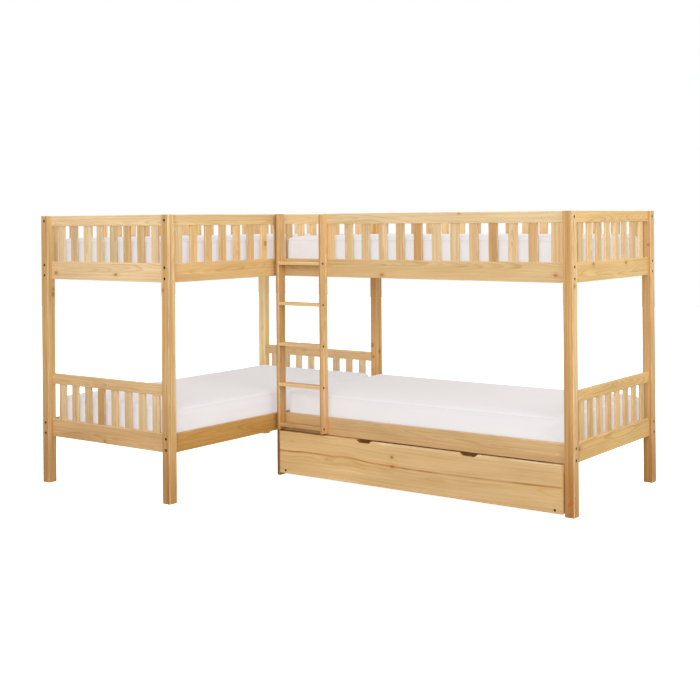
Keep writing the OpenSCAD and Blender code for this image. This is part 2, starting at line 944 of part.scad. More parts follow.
// Long screws through the back inner post into the right wing's back rails, behind its end panel
module at_post_screws() {
  mid = [lower_rail_z + rail_h / 2, upper_rail_z + rail_h / 2];
  for (z = [mid[0] - post_screw_dz, mid[0] + post_screw_dz, mid[1] - post_screw_dz,
      mid[1] + post_screw_dz, guard_bolt_z + post_screw_dz])
    translate([-post_s + screw_sink, wing_w - side_inset - rail_t / 2 + post_screw_dy, z])
      rotate([0, -90, 0])
        children();
}

// ---- Trundle

trundle_side_x = [trundle_x0 + trundle_overhang, trundle_x1 - trundle_overhang - trundle_t];
trundle_y1 = trundle_d - trundle_t;
tray_slat_z = trundle_side_z0 + 44;
tray_slat_n = 9;
tray_ledger_x = trundle_side_x[0] + trundle_t + 45;
tray_ledger_l = trundle_side_x[1] - trundle_side_x[0] - trundle_t - 90;
cleat_x = [trundle_x0 + cleat_inset, trundle_x1 - cleat_inset - cleat_w];
cleat_d = 45;
// Dowels from the front board into the ends of the side boards
dowel_r = 4;
dowel_l = 30;
dowel_in_front = 12;

// The hand hole's outline, open at the top edge
module grip_cut(x) {
  translate([x, trundle_t + past, trundle_z1])
    rotate([90, 0, 0])
      linear_extrude(height = trundle_t + 2 * past)
        polygon([for (m = [-1, 1], p = m < 0 ? [0 : 4] : [4 : -1 : 0])
          let (f = p / 4, w = grip_w / 2 - grip_slope * f)
          [m * w, p == 0 ? past : -grip_d * sin(90 * f)]]);
}

module trundle_front() {
  color(PINE) difference() {
    translate([trundle_x0, 0, trundle_z0])
      board(trundle_x1 - trundle_x0, trundle_t, trundle_z1 - trundle_z0);
    grip_cut(trundle_x0 + left_grip_x);
    grip_cut(trundle_x1 - right_grip_x);
    at_cleat_screws() screw_cut(trundle_screw_l, wide_head_r);
    at_tray_dowels() dowel_cut();
    at_batten_dowels() dowel_cut();
  }
}

module trundle_back() {
  color(PINE_WARM) difference() {
    translate([trundle_side_x[0], trundle_y1, trundle_side_z0])
      board(trundle_side_x[1] + trundle_t - trundle_side_x[0], trundle_t, trundle_side_h);
    at_back_screws() screw_cut(trundle_screw_l);
  }
}

module trundle_sides() {
  color(PINE_WARM) difference() {
    for (x = trundle_side_x)
      translate([x + trundle_t, trundle_t, trundle_side_z0])
        rotate([0, 0, 90])
          board(trundle_y1 - trundle_t, trundle_t, trundle_side_h);
    at_tray_dowels() dowel_cut();
    at_back_screws() screw_cut(trundle_screw_l);
    at_wheels() axle_cut();
  }
}

// A batten behind the left part of the front's top edge, flush with it but for a millimetre
batten_x0 = trundle_x0 + batten_end;
batten_x1 = trundle_x0 + left_grip_x - grip_w / 2 - batten_end;
batten_z1 = trundle_z1 - 1;

module trundle_batten() {
  color(PINE_WARM) difference() {
    translate([batten_x0, trundle_t, batten_z1 - batten_h])
      board(batten_x1 - batten_x0, cleat_d, batten_h);
    at_batten_dowels() dowel_cut();
  }
}

module at_batten_dowels() {
  for (f = [0.1, 0.5, 0.9])
    translate([batten_x0 + f * (batten_x1 - batten_x0), trundle_t - dowel_in_front,
        batten_z1 - batten_h / 2])
      rotate([-90, 0, 0])
        children();
}

// Upright cleats that keep the ends of the front board flat
module trundle_cleats() {
  color(PINE_WARM) difference() {
    for (x = cleat_x)
      translate([x, trundle_t, trundle_side_z0])
        cube([cleat_w, cleat_d, cleat_h]);
    at_cleat_screws() screw_cut(trundle_screw_l, wide_head_r);
  }
}

module at_tray_dowels() {
  for (x = trundle_side_x, z = [25, trundle_side_h - 25])
    translate([x + trundle_t / 2, trundle_t - dowel_in_front, trundle_side_z0 + z])
      rotate([-90, 0, 0])
        children();
}

module dowel_cut() {
  translate([0, 0, -0.5])
    cylinder(h = dowel_l + 1, r = dowel_r + nut_fit, $fn = 32);
}

module trundle_dowels() {
  color(PINE_LIGHT) {
    at_tray_dowels() cylinder(h = dowel_l, r = dowel_r, $fn = 32);
    at_batten_dowels() cylinder(h = dowel_l, r = dowel_r, $fn = 32);
  }
}

module trundle_ledgers() {
  color(PINE_WARM)
    for (y = [trundle_t, trundle_y1 - ledger_w])
      translate([tray_ledger_x, y, tray_slat_z - ledger_h])
        cube([tray_ledger_l, ledger_w, ledger_h]);
}

// The bars that stiffen the box, each a separate piece: two cleats and a batten behind the front,
// and two ledgers under the slats
module trundle_battens() {
  trundle_cleats();
  trundle_batten();
  trundle_ledgers();
}

module trundle_slats() {
  pitch = (tray_ledger_l - bed_slat_w) / (tray_slat_n - 1);
  color(PINE_LIGHT)
    for (i = [0 : tray_slat_n - 1])
      translate([tray_ledger_x + i * pitch + bed_slat_w, trundle_t + 1, tray_slat_z])
        rotate([0, 0, 90])
          board(trundle_y1 - trundle_t - 2, bed_slat_w, bed_slat_t);
}

// One screw from the front into each cleat, low down
module at_cleat_screws() {
  for (x = cleat_x)
    translate([x + cleat_w / 2, screw_sink, trundle_side_z0 + 19])
      rotate([90, 0, 0])
        children();
}

// Two screws from the back into each side board
module at_back_screws() {
  for (x = trundle_side_x, z = [20, trundle_side_h - 20])
    translate([x + trundle_t / 2, trundle_d - screw_sink, trundle_side_z0 + z])
      rotate([-90, 0, 0])
        children();
}

// Wheels and axles: z = 0 is the inner face of a side board and +Z points into the trundle
wheel_places = [[0, wheel_y], [1, wheel_y], [0, trundle_d - wheel_y], [1, trundle_d - wheel_y]];

module at_wheel(i) {
  right = wheel_places[i][0];
  translate([right ? trundle_side_x[1] : trundle_side_x[0] + trundle_t, wheel_places[i][1], wheel_r])
    rotate([0, right ? -90 : 90, 0])
      children();
}

module at_wheels() {
  for (i = [0 : 3])
    at_wheel(i) children();
}

spacer_h = 3;
axle_head_r = 9;
axle_head_h = 3;
axle_root = 16;

module wheel() {
  color(BLACK)
    translate([0, 0, spacer_h + wheel_side_gap])
      rotate_extrude($fn = 64)
        polygon([[axle_r + wheel_fit, 0], [wheel_r - 12, 0], [wheel_r - 10, 3], [wheel_r - 7, 3],
          [wheel_r - 6, 0], [wheel_r - 2, 0], [wheel_r, 2], [wheel_r, wheel_w - 2],
          [wheel_r - 2, wheel_w], [wheel_r - 6, wheel_w], [wheel_r - 7, wheel_w - 3],
          [wheel_r - 10, wheel_w - 3], [wheel_r - 12, wheel_w], [axle_r + wheel_fit, wheel_w]]);
}

module axle() {
  head_z = spacer_h + wheel_w + 2 * wheel_side_gap;
  rotate_extrude($fn = 48)
    polygon([[0, -axle_root], [axle_r, -axle_root], [axle_r, 0], [axle_head_r, 0],
      [axle_head_r, spacer_h], [axle_r, spacer_h], [axle_r, head_z], [axle_head_r, head_z],
      [axle_head_r, head_z + axle_head_h], [0, head_z + axle_head_h]]);
}

module axle_cut() {
  translate([0, 0, -axle_root])
    cylinder(h = axle_root + past, r = axle_r + nut_fit, $fn = 48);
}

module trundle_axles() {
  color(STEEL) at_wheels() axle();
}

module trundle_wheel_front_left() {
  at_wheel(0) wheel();
}

module trundle_wheel_front_right() {
  at_wheel(1) wheel();
}

module trundle_wheel_back_left() {
  at_wheel(2) wheel();
}

module trundle_wheel_back_right() {
  at_wheel(3) wheel();
}

// ---- Fasteners

// Puts one fastener at every bolt place: kind 0 draws the bolts, kind 1 the barrel nuts
module fastener(kind, zs, grip, sunk) {
  if (kind == 0)
    at_heights(zs) bolt_shape(grip, sunk);
  else
    at_nut_heights(zs) nut_shape();
}

module all_fasteners(kind) {
  color(STEEL) {
    at_left_outer() both_ends(left_clear_l) fastener(kind, standard_z(), post_s, counterbore_d);
    at_left_inner() both_ends(left_clear_l) fastener(kind, standard_z(), post_s, counterbore_d);
    at_right_front() {
      fastener(kind, corner_z(), corner_grip, corner_sunk);
      from_end(right_front_l) fastener(kind, standard_z(), post_s, counterbore_d);
    }
    at_right_back() {
      from_end(right_back_l) fastener(kind, standard_z(), post_s, counterbore_d);
    }
  }
}

module both_ends(l) {
  children();
  from_end(l) children();
}

module bed_bolts() {
  all_fasteners(0);
}

module barrel_nuts() {
  all_fasteners(1);
}

module wood_screws() {
  color(STEEL) {
    at_rung_screws(0) screw_shape(rung_screw_l, wide_head_r);
    at_rung_screws(1) screw_shape(rung_screw_l, wide_head_r);
    at_ladder_screws() screw_shape(ladder_screw_l);
    at_post_screws() screw_shape(post_screw_l);
  }
}

module trundle_screws() {
  color(STEEL) {
    at_cleat_screws() screw_shape(trundle_screw_l, wide_head_r);
    at_back_screws() screw_shape(trundle_screw_l);
  }
}

from_corner() post_left_front_outer();
from_corner() post_left_front_inner();
from_corner() post_left_back_outer();
from_corner() post_left_back_inner();
from_corner() post_right_front();
from_corner() post_right_back();
from_corner() corner_support();
from_corner() left_upper_outer_rail();
from_corner() left_upper_inner_rail();
from_corner() left_lower_outer_rail();
from_corner() left_lower_inner_rail();
from_corner() right_upper_front_rail();
from_corner() right_upper_back_rail();
from_corner() right_lower_front_rail();
from_corner() right_lower_back_rail();
from_corner() left_outer_guard_rail();
from_corner() left_inner_guard_rail();
from_corner() right_front_guard_rail();
from_corner() right_back_guard_rail();
from_corner() left_outer_guard_slats();
from_corner() left_inner_guard_slats();
from_corner() right_front_guard_slats();
from_corner() right_back_guard_slats();
from_corner() guard_end_boards();
from_corner() left_front_panel_rails();
from_corner() left_back_panel_rails();
from_corner() right_end_panel_rails();
from_corner() left_front_upper_slats();
from_corner() left_front_lower_slats();
from_corner() left_back_upper_slats();
from_corner() left_back_lower_slats();
from_corner() right_end_upper_slats();
from_corner() right_end_lower_slats();
from_corner() slat_ledgers();
from_corner() left_upper_bed_slats();
from_corner() left_lower_bed_slats();
from_corner() right_upper_bed_slats();
from_corner() right_lower_bed_slats();
from_corner() ladder_left_stile();
from_corner() ladder_right_stile();
from_corner() ladder_rungs();
at_trundle() trundle_front();
at_trundle() trundle_back();
at_trundle() trundle_sides();
at_trundle() trundle_battens();
at_trundle() trundle_dowels();
at_trundle() trundle_slats();
at_trundle() trundle_axles();
at_trundle() trundle_wheel_front_left();
at_trundle() trundle_wheel_front_right();
at_trundle() trundle_wheel_back_left();
at_trundle() trundle_wheel_back_right();
from_corner() left_upper_mattress();
from_corner() left_lower_mattress();
from_corner() right_upper_mattress();
from_corner() right_lower_mattress();
from_corner() bed_bolts();
from_corner() barrel_nuts();
from_corner() wood_screws();
at_trundle() trundle_screws();
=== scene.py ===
# %% [markdown]
# # An L shaped bunk bed in lacquered pine
# Two bunk beds meet in a corner and share a post. Every board already comes from the drawing as a
# solid of its own, with its mortises, bolts and screws. What is left to make here is what a joiner
# and an upholsterer add: the figure of the pine, its knots and lacquer, and four soft mattresses.
# Everything is in metres and in the drawing's own frame, so each piece is made where it belongs.

# %% Open the drawing's frame
import bpy, bmesh, math
from mathutils import Matrix, Vector
from mathutils.bvhtree import BVHTree


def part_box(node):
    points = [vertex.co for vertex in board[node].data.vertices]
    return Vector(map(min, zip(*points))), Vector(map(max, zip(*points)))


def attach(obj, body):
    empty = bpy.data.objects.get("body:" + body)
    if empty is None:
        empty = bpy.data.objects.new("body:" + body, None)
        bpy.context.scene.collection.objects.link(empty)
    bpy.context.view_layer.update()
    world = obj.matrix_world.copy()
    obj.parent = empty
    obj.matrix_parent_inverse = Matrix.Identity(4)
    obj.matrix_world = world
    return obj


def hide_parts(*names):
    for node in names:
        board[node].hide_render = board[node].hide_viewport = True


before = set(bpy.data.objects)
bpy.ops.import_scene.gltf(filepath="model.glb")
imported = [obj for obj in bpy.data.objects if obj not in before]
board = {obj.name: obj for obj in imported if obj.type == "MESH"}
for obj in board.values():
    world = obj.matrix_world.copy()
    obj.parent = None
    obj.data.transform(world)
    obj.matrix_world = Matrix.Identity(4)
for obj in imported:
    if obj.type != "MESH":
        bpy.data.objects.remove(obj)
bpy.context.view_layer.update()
print("boards and fittings in the frame:", len(board))

# %% [markdown]
# The measurements of the photograph were taken from the inside corner of the L. The drawing's
# origin is under the middle of the bed, so one small helper moves a point from the first to the
# second. Knots and marks that belong at one place are given with it, in millimetres.

# %% A point measured from the inside corner
def corner(x, y, z):
    return Vector(((x - 455) / 1000, (y - 63) / 1000, z / 1000))

print("inside corner at", tuple(corner(0, 0, 0)))

# %% [markdown]
# ## The camera
# The bed was photographed from far away with a long lens that was shifted down, so that the posts
# stay upright. The same is done here: a level camera, a lens shift, and a roll of half a degree.
# It comes first, because everything after it is judged through it.

# %% Camera at the photograph's place
scene = bpy.context.scene
turn, roll = math.radians(35.589), math.radians(-0.490)
right = Vector((math.cos(turn), math.sin(turn), 0))
ahead = Vector((-math.sin(turn), math.cos(turn), 0))
up = Vector((0, 0, 1))
rolled_right = right * math.cos(roll) + up * math.sin(roll)
rolled_up = up * math.cos(roll) - right * math.sin(roll)
lens = bpy.data.cameras.new("photograph_lens")
lens.sensor_width, lens.lens = 36, 61.91
lens.shift_x, lens.shift_y = -0.0430, -0.1863
lens.clip_end = 60
camera = bpy.data.objects.new("photograph_camera", lens)
scene.collection.objects.link(camera)
camera.matrix_world = Matrix.Translation((4.356, -5.723, 1.562)) @ Matrix(
    (rolled_right, rolled_up, -ahead)).transposed().to_4x4()
scene.camera = camera
print("camera stands at", tuple(round(v, 3) for v in camera.matrix_world.translation))

# %% [markdown]
# ## Floor and light
# A plain pale floor runs far past the bed. The surround is white above and a dull warm grey below,
# because in the photograph the boards grow browner towards the floor: nothing bright lies there to
# throw light back. For the same reason the floor is seen but lights nothing. One large soft lamp
# stands on the camera's right and one in front, both high, so the faces that look right are the
# brightest. A third, beside the camera, is what opens the shade under the upper beds.

# %% Pale floor
def flat_piece(name, size, height):
    mesh = bpy.data.meshes.new(name)
    shape = bmesh.new()
    bmesh.ops.create_grid(shape, x_segments=1, y_segments=1, size=size)
    bmesh.ops.translate(shape, verts=shape.verts, vec=(0, 0, height))
    shape.to_mesh(mesh)
    shape.free()
    piece = bpy.data.objects.new(name, mesh)
    scene.collection.objects.link(piece)
    return piece

floor = flat_piece("studio_floor", 14, -0.0006)
floor.visible_diffuse = floor.visible_glossy = False
print("floor reaches", round(floor.dimensions.x, 1), "m")

# %% Surround
BELOW, ABOVE = (0.30, 0.24, 0.19, 1), (0.80, 0.80, 0.81, 1)
DULL_UNTIL, BRIGHT_FROM = -0.35, 0.25
surround = bpy.data.worlds.new("white_surround")
surround.use_nodes = True
scene.world = surround
sky = surround.node_tree
way = sky.nodes.new("ShaderNodeSeparateXYZ")
rise = sky.nodes.new("ShaderNodeMapRange")
tints = sky.nodes.new("ShaderNodeMix")
tints.data_type = "RGBA"
glow = sky.nodes["Background"]
seen = sky.nodes.new("ShaderNodeBackground")
pick = sky.nodes.new("ShaderNodeMixShader")
sky.links.new(sky.nodes.new("ShaderNodeTexCoord").outputs["Generated"], way.inputs[0])
sky.links.new(way.outputs["Z"], rise.inputs["Value"])
rise.inputs["From Min"].default_value, rise.inputs["From Max"].default_value = DULL_UNTIL, BRIGHT_FROM
sky.links.new(rise.outputs[0], tints.inputs[0])
tints.inputs[6].default_value, tints.inputs[7].default_value = BELOW, ABOVE
sky.links.new(tints.outputs[2], glow.inputs["Color"])
seen.inputs["Color"].default_value = (1, 1, 1, 1)
sky.links.new(sky.nodes.new("ShaderNodeLightPath").outputs["Is Camera Ray"], pick.inputs[0])
sky.links.new(glow.outputs[0], pick.inputs[1])
sky.links.new(seen.outputs[0], pick.inputs[2])
sky.links.new(pick.outputs[0], sky.nodes["World Output"].inputs["Surface"])
scene.view_settings.view_transform = "Standard"
scene.view_settings.look = "None"
print("surround has", len(sky.nodes), "nodes")

# %% Lamps
def soft_lamp(name, place, aim, size, watts, tint=(1, 1, 1)):
    lamp = bpy.data.lights.new(name, "AREA")
    lamp.shape, lamp.size, lamp.size_y = "RECTANGLE", size, size
    lamp.energy, lamp.color = watts, tint
    holder = bpy.data.objects.new(name, lamp)
    scene.collection.objects.link(holder)
    way = Vector(aim) - Vector(place)
    holder.matrix_world = Matrix.Translation(place) @ way.to_track_quat("-Z", "Y").to_matrix().to_4x4()

soft_lamp("right_lamp", (6.2, -1.2, 3.4), (0.8, 0.2, 1.1), 3.4, 150)
soft_lamp("front_lamp", (2.2, -6.2, 3.6), (0.0, -0.2, 1.1), 3.6, 150)
soft_lamp("near_lamp", (3.9, -6.6, 1.25), (0.0, 0.3, 0.7), 2.6, 130, (1.0, 0.97, 0.92))

# %% [markdown]
# ## A short hand for shader nodes
# A material is a little machine of joined nodes. Written out in full it takes four lines a node, so
# this small class makes a node, feeds its sockets with a number or with another socket, and hands
# back what comes out of it. It adds nothing of its own to the materials.

# %% The short hand
class Bench:
    def __init__(self, tree):
        self.tree, self.made = tree, 0

    def node(self, kind, **settings):
        made = self.tree.nodes.new(kind)
        for key, value in settings.items():
            setattr(made, key, value)
        self.made += 1
        made.location = (self.made % 14 * 190, -(self.made // 14) * 230)
        return made

    def feed(self, socket, value):
        if isinstance(value, bpy.types.NodeSocket):
            self.tree.links.new(value, socket)
        elif value is not None:
            socket.default_value = value

    def sum(self, work, a, b=None, c=None):
        made = self.node("ShaderNodeMath", operation=work)
        for socket, value in zip(made.inputs, (a, b, c)):
            self.feed(socket, value)
        return made.outputs[0]

    def plus(self, a, b):
        return self.sum("ADD", a, b)

    def minus(self, a, b):
        return self.sum("SUBTRACT", a, b)

    def times(self, a, b, plus=None):
        return self.sum("MULTIPLY", a, b) if plus is None else self.sum("MULTIPLY_ADD", a, b, plus)

    def arrow(self, work, a, b=None, scale=None):
        made = self.node("ShaderNodeVectorMath", operation=work)
        self.feed(made.inputs[0], a)
        self.feed(made.inputs[1], b)
        if scale is not None:
            self.feed(made.inputs["Scale"], scale)
        single = work in {"LENGTH", "DOT_PRODUCT"}
        return made.outputs["Value" if single else "Vector"]

    def apart(self, vector):
        made = self.node("ShaderNodeSeparateXYZ")
        self.feed(made.inputs[0], vector)
        return list(made.outputs)

    def join(self, x, y, z):
        made = self.node("ShaderNodeCombineXYZ")
        for socket, value in zip(made.inputs, (x, y, z)):
            self.feed(socket, value)
        return made.outputs[0]

    def cloud(self, vector, scale=1.0, detail=2.0, rough=0.5):
        made = self.node("ShaderNodeTexNoise")
        for key, value in (("Vector", vector), ("Scale", scale), ("Detail", detail), ("Roughness", rough)):
            self.feed(made.inputs[key], value)
        return made.outputs[0]

    def dice(self, vector):
        made = self.node("ShaderNodeTexWhiteNoise", noise_dimensions="3D")
        self.feed(made.inputs["Vector"], vector)
        return made.outputs["Value"], made.outputs["Color"]

    def ease(self, value, low, high, out_low=0.0, out_high=1.0):
        made = self.node("ShaderNodeMapRange", interpolation_type="SMOOTHSTEP")
        for socket, part in zip(made.inputs, (value, low, high, out_low, out_high)):
            self.feed(socket, part)
        return made.outputs[0]

    def blend(self, amount, a, b, way="MIX"):
        made = self.node("ShaderNodeMix", data_type="RGBA", blend_type=way)
        self.feed(made.inputs[0], amount)
        self.feed(made.inputs[6], a)
        self.feed(made.inputs[7], b)
        return made.outputs[2]

    def use(self, tree, **values):
        made = self.node("ShaderNodeGroup", node_tree=tree)
        for key, value in values.items():
            self.feed(made.inputs[key.replace("_", " ")], value)
        return made.outputs

# %% A node group with named sockets
KINDS = {"number": "NodeSocketFloat", "vector": "NodeSocketVector", "colour": "NodeSocketColor"}

def start_group(name, takes, gives):
    tree = bpy.data.node_groups.new(name, "ShaderNodeTree")
    for label, kind, value in takes:
        socket = tree.interface.new_socket(label, in_out="INPUT", socket_type=KINDS[kind])
        socket.default_value = value
    for label, kind in gives:
        tree.interface.new_socket(label, in_out="OUTPUT", socket_type=KINDS[kind])
    bench = Bench(tree)
    return tree, bench, bench.node("NodeGroupInput").outputs, bench.node("NodeGroupOutput").inputs

def start_material(name):
    finish = bpy.data.materials.new(name)
    finish.use_nodes = True
    finish.node_tree.nodes.clear()
    bench = Bench(finish.node_tree)
    shader = bench.node("ShaderNodeBsdfPrincipled")
    bench.feed(bench.node("ShaderNodeOutputMaterial").inputs["Surface"], shader.outputs[0])
    return finish, bench, shader

def set_bump(bench, shader, height, strength, distance):
    bump = bench.node("ShaderNodeBump")
    bump.inputs["Strength"].default_value = strength
    bump.inputs["Distance"].default_value = distance
    bench.feed(bump.inputs["Height"], height)
    bench.feed(shader.inputs["Normal"], bump.outputs[0])

print("bench ready")

# %% [markdown]
# ## Floor paint
# The floor is matt off white board with a faint mottle. The photograph shows no shadow on it, so
# the paint also glows by itself, which washes out the mottle and whatever shadow falls there.

# %% Floor paint
FLOOR_GLOW = 0.9
paint, bench, shader = start_material("floor_paint")
spot = bench.node("ShaderNodeTexCoord").outputs["Object"]
mottle = bench.cloud(spot, 1.3, 3)
bench.feed(shader.inputs["Base Color"], bench.blend(mottle, (0.93, 0.93, 0.93, 1), (0.96, 0.96, 0.96, 1)))
bench.feed(shader.inputs["Roughness"], bench.times(mottle, 0.1, 0.8))
shader.inputs["Specular IOR Level"].default_value = 0.1
shader.inputs["Emission Color"].default_value = (1, 1, 1, 1)
shader.inputs["Emission Strength"].default_value = FLOOR_GLOW
floor.data.materials.append(paint)
print("floor painted")

# %% [markdown]
# ## Finding the board
# One drawing node may hold eight slats that stand at an even pitch, and no two slats are cut from
# the same place in a tree. This group takes a point, tells which board it lies in, and gives its
# place from that board's own middle, a tone between 0 and 1, and a random shift to cut it with.

# %% Group: board place
board_place, bench, take, give = start_group("board place",
    [("Position", "vector", (0, 0, 0)), ("First", "vector", (0, 0, 0)), ("Pitch", "vector", (60, 60, 60)),
     ("Batch", "number", 1.0)],
    [("Local", "vector"), ("Tone", "number"), ("Shift", "vector")])
away = bench.arrow("SUBTRACT", take["Position"], take["First"])
number = bench.arrow("FLOOR", bench.arrow("ADD", bench.arrow("DIVIDE", away, take["Pitch"]), (0.5, 0.5, 0.5)))
bench.feed(give["Local"], bench.arrow("SUBTRACT", away, bench.arrow("MULTIPLY", number, take["Pitch"])))
stamp = bench.arrow("ADD", number, bench.arrow("SCALE", (1.37, 2.11, 3.73), scale=take["Batch"]))
tone, colour = bench.dice(stamp)
bench.feed(give["Tone"], tone)
bench.feed(give["Shift"], bench.arrow("SCALE", colour, scale=20.0))
print(board_place.name, "has", len(board_place.nodes), "nodes")

# %% [markdown]
# ## Knots at one place
# A few knots are so plain in the photograph that they must sit where they sit there. Each is a
# small ellipsoid. The group keeps the smallest distance of a chain of them, so a material may hold
# any number.

# %% Group: placed knot
placed_knot, bench, take, give = start_group("placed knot",
    [("Position", "vector", (0, 0, 0)), ("Middle", "vector", (0, 0, 0)), ("Radii", "vector", (1, 1, 1)),
     ("Nearest", "number", 9.0)], [("Nearest", "number")])
away = bench.arrow("SUBTRACT", take["Position"], take["Middle"])
reach = bench.arrow("LENGTH", bench.arrow("DIVIDE", away, take["Radii"]))
bench.feed(give["Nearest"], bench.sum("MINIMUM", reach, take["Nearest"]))
print(placed_knot.name, "has", len(placed_knot.nodes), "nodes")

# %% [markdown]
# ## The figure of pine
# A board is a slice of a cone of rings. The pith lies a few centimetres behind the face and wanders
# along the board, and that is what draws the cathedral arches. The distance to it, counted in ring
# widths, gives the pale early wood and the thin dark late wood. Knots are branches that cross the
# board: the rings flow round them. Everything is worked out in the solid, so the rings run over
# the edges and across the end grain as they do in a real board.

# %% Group: pine figure
pine_figure, bench, take, give = start_group("pine figure",
    [("Grain", "vector", (0, 0, 0)), ("Shift", "vector", (0, 0, 0)), ("Ring width", "number", 0.0036),
     ("Pith depth", "number", 0.05), ("Knots", "number", 0.3), ("Placed knot", "number", 9.0)],
    [(label, "number") for label in ("Late wood", "Fibre", "Cloud", "Streak", "Band", "Knot", "Knot rim",
                                     "Halo")])
along, across, through = bench.apart(take["Grain"])
shift_a, shift_b, shift_c = bench.apart(take["Shift"])
far = bench.plus(along, shift_a)
# noise drawn out along the board, finer across it
def drawn_out(along_rate, across_rate, shift, detail, rough=0.5):
    place = bench.join(bench.times(far, along_rate), bench.times(across, across_rate, shift),
                       bench.times(through, across_rate))
    return bench.cloud(place, 1.0, detail, rough)

# where the pith runs
slow = bench.cloud(bench.join(bench.times(far, 1.15), shift_b, shift_c), 1.0, 1.0)
slow_two = bench.cloud(bench.join(bench.times(far, 0.9), shift_c, shift_a), 1.0, 1.0)
side_way = bench.times(slow, 0.13, bench.times(bench.sum("FRACT", shift_b), 0.05, -0.09))
depth = bench.times(slow_two, 0.10, bench.plus(take["Pith depth"], -0.05))
off = bench.minus(across, side_way)
deep = bench.plus(through, depth)
# knots that chance puts in, one cell for each
CELLS_ALONG, CELLS_ACROSS, KNOT_STRETCH = 4.6, 9.0, 1.35
cell = bench.join(bench.times(far, CELLS_ALONG), bench.times(across, CELLS_ACROSS, shift_b), 0.0)
branch = bench.node("ShaderNodeTexVoronoi", voronoi_dimensions="2D", feature="F1")
bench.feed(branch.inputs["Vector"], cell)
branch.inputs["Scale"].default_value = 1.0
branch.inputs["Randomness"].default_value = 0.9
middle = branch.outputs["Position"]
chance, chance_colour = bench.dice(middle)
girth = bench.times(bench.apart(chance_colour)[1], 0.0085, 0.0028)
step = bench.arrow("MULTIPLY", bench.arrow("SUBTRACT", cell, middle),
                   (1 / CELLS_ALONG / KNOT_STRETCH, 1 / CELLS_ACROSS, 0))
wild = bench.sum("DIVIDE", bench.arrow("LENGTH", step), girth)
absent = bench.sum("GREATER_THAN", chance, take["Knots"])
wild = bench.times(absent, 9.0, wild)
nearest = bench.sum("MINIMUM", wild, take["Placed knot"])
fine_grain = bench.arrow("SCALE", take["Grain"], scale=210.0)
ragged = bench.cloud(bench.arrow("ADD", fine_grain, take["Shift"]), 1.0, 2.0)
nearest = bench.times(bench.minus(ragged, 0.5), 0.35, nearest)
bench.feed(give["Knot"], bench.ease(nearest, 1.12, 0.80))
rim = bench.times(bench.ease(nearest, 0.74, 0.98), bench.ease(nearest, 1.28, 1.02))
bench.feed(give["Knot rim"], rim)
halo = bench.ease(nearest, 4.2, 0.9)
bench.feed(give["Halo"], halo)
# the rings, which flow round the knots
radius = bench.sum("SQRT", bench.plus(bench.times(off, off), bench.times(deep, deep)))
radius = bench.times(halo, 0.0075, radius)
wave = drawn_out(3.2, 16.0, shift_c, 2.0)
count = bench.times(wave, 2.6, bench.sum("DIVIDE", radius, take["Ring width"]))
bench.feed(give["Band"], bench.cloud(bench.join(bench.times(count, 0.30), shift_a, shift_b), 1.0, 2.0, 0.6))
year = bench.dice(bench.join(bench.sum("FLOOR", count), shift_a, shift_b))[0]
part = bench.sum("FRACT", count)
late = bench.times(bench.ease(part, 0.30, 0.88), bench.ease(part, 1.0, 0.93))
bench.feed(give["Late wood"], bench.times(late, bench.times(year, 0.65, 0.35)))
# fibres, broad clouds and long streaks
bench.feed(give["Fibre"], drawn_out(26.0, 950.0, shift_b, 2.0, 0.6))
bench.feed(give["Cloud"], drawn_out(2.3, 13.0, shift_a, 3.0))
bench.feed(give["Streak"], drawn_out(1.2, 98.0, shift_c, 3.0, 0.62))
print(pine_figure.name, "has", len(pine_figure.nodes), "nodes")

# %% [markdown]
# ## Eased edges
# The long edges of every board were eased with a plane and have since been rubbed by hands and
# bedding, so the lacquer is thinner and paler there. On a board of known width and thickness the
# distance to the nearest long edge is plain arithmetic, and that is what this group gives.

# %% Group: rubbed edge
rubbed_edge, bench, take, give = start_group("rubbed edge",
    [("Grain", "vector", (0, 0, 0)), ("Half width", "number", 9.0), ("Half thickness", "number", 9.0)],
    [("Rubbed", "number")])
_, across, through = bench.apart(take["Grain"])
gap = bench.sum("MAXIMUM",
    bench.minus(take["Half width"], bench.sum("ABSOLUTE", across)),
    bench.minus(take["Half thickness"], bench.sum("ABSOLUTE", through)))
patch = bench.cloud(bench.arrow("MULTIPLY", take["Grain"], (9, 60, 60)), 1.0, 3.0)
bench.feed(give["Rubbed"], bench.times(bench.ease(gap, 0.0052, 0.0008), bench.ease(patch, 0.30, 0.72)))
print(rubbed_edge.name, "has", len(rubbed_edge.nodes), "nodes")

# %% [markdown]
# ## Lacquered pine
# The last group turns the figure into colour, sheen and relief. Early wood is straw, late wood is
# honey, knots are chestnut with a darker rim of bark, and the satin lacquer is a little duller over
# the fibres and on rubbed edges. The relief is only hundredths of a millimetre deep.

# %% Group: lacquered pine
FOOT_SHADE_BROWN, RUBBED_PALE, BARK = (0.62, 0.44, 0.23, 1), (0.93, 0.78, 0.55, 1), (0.19, 0.060, 0.013, 1)
lacquered_pine, bench, take, give = start_group("lacquered pine",
    [("Early colour", "colour", (0.8, 0.6, 0.35, 1)), ("Late colour", "colour", (0.6, 0.35, 0.13, 1)),
     ("Heart colour", "colour", (0.6, 0.35, 0.13, 1)), ("Knot colour", "colour", (0.42, 0.135, 0.024, 1)),
     ("Stain colour", "colour", (0.71, 0.47, 0.19, 1)), ("Tone spread", "number", 0.2),
     ("Contrast", "number", 0.8)]
    + [(label, "number", 0.5) for label in ("Tone", "Fibre", "Cloud", "Streak", "Band")]
    + [(label, "number", 0.0) for label in ("Heart", "Late wood", "Knot", "Knot rim", "Halo", "Rubbed",
                                            "End grain", "Foot", "Stain")],
    [("Colour", "colour"), ("Roughness", "number"), ("Height", "number")])
# Shading picks the darker stock for the faces that are given painted shade
late_heart = bench.blend(0.45, take["Heart colour"], take["Late colour"])
late = bench.blend(take["Heart"], take["Late colour"], late_heart)
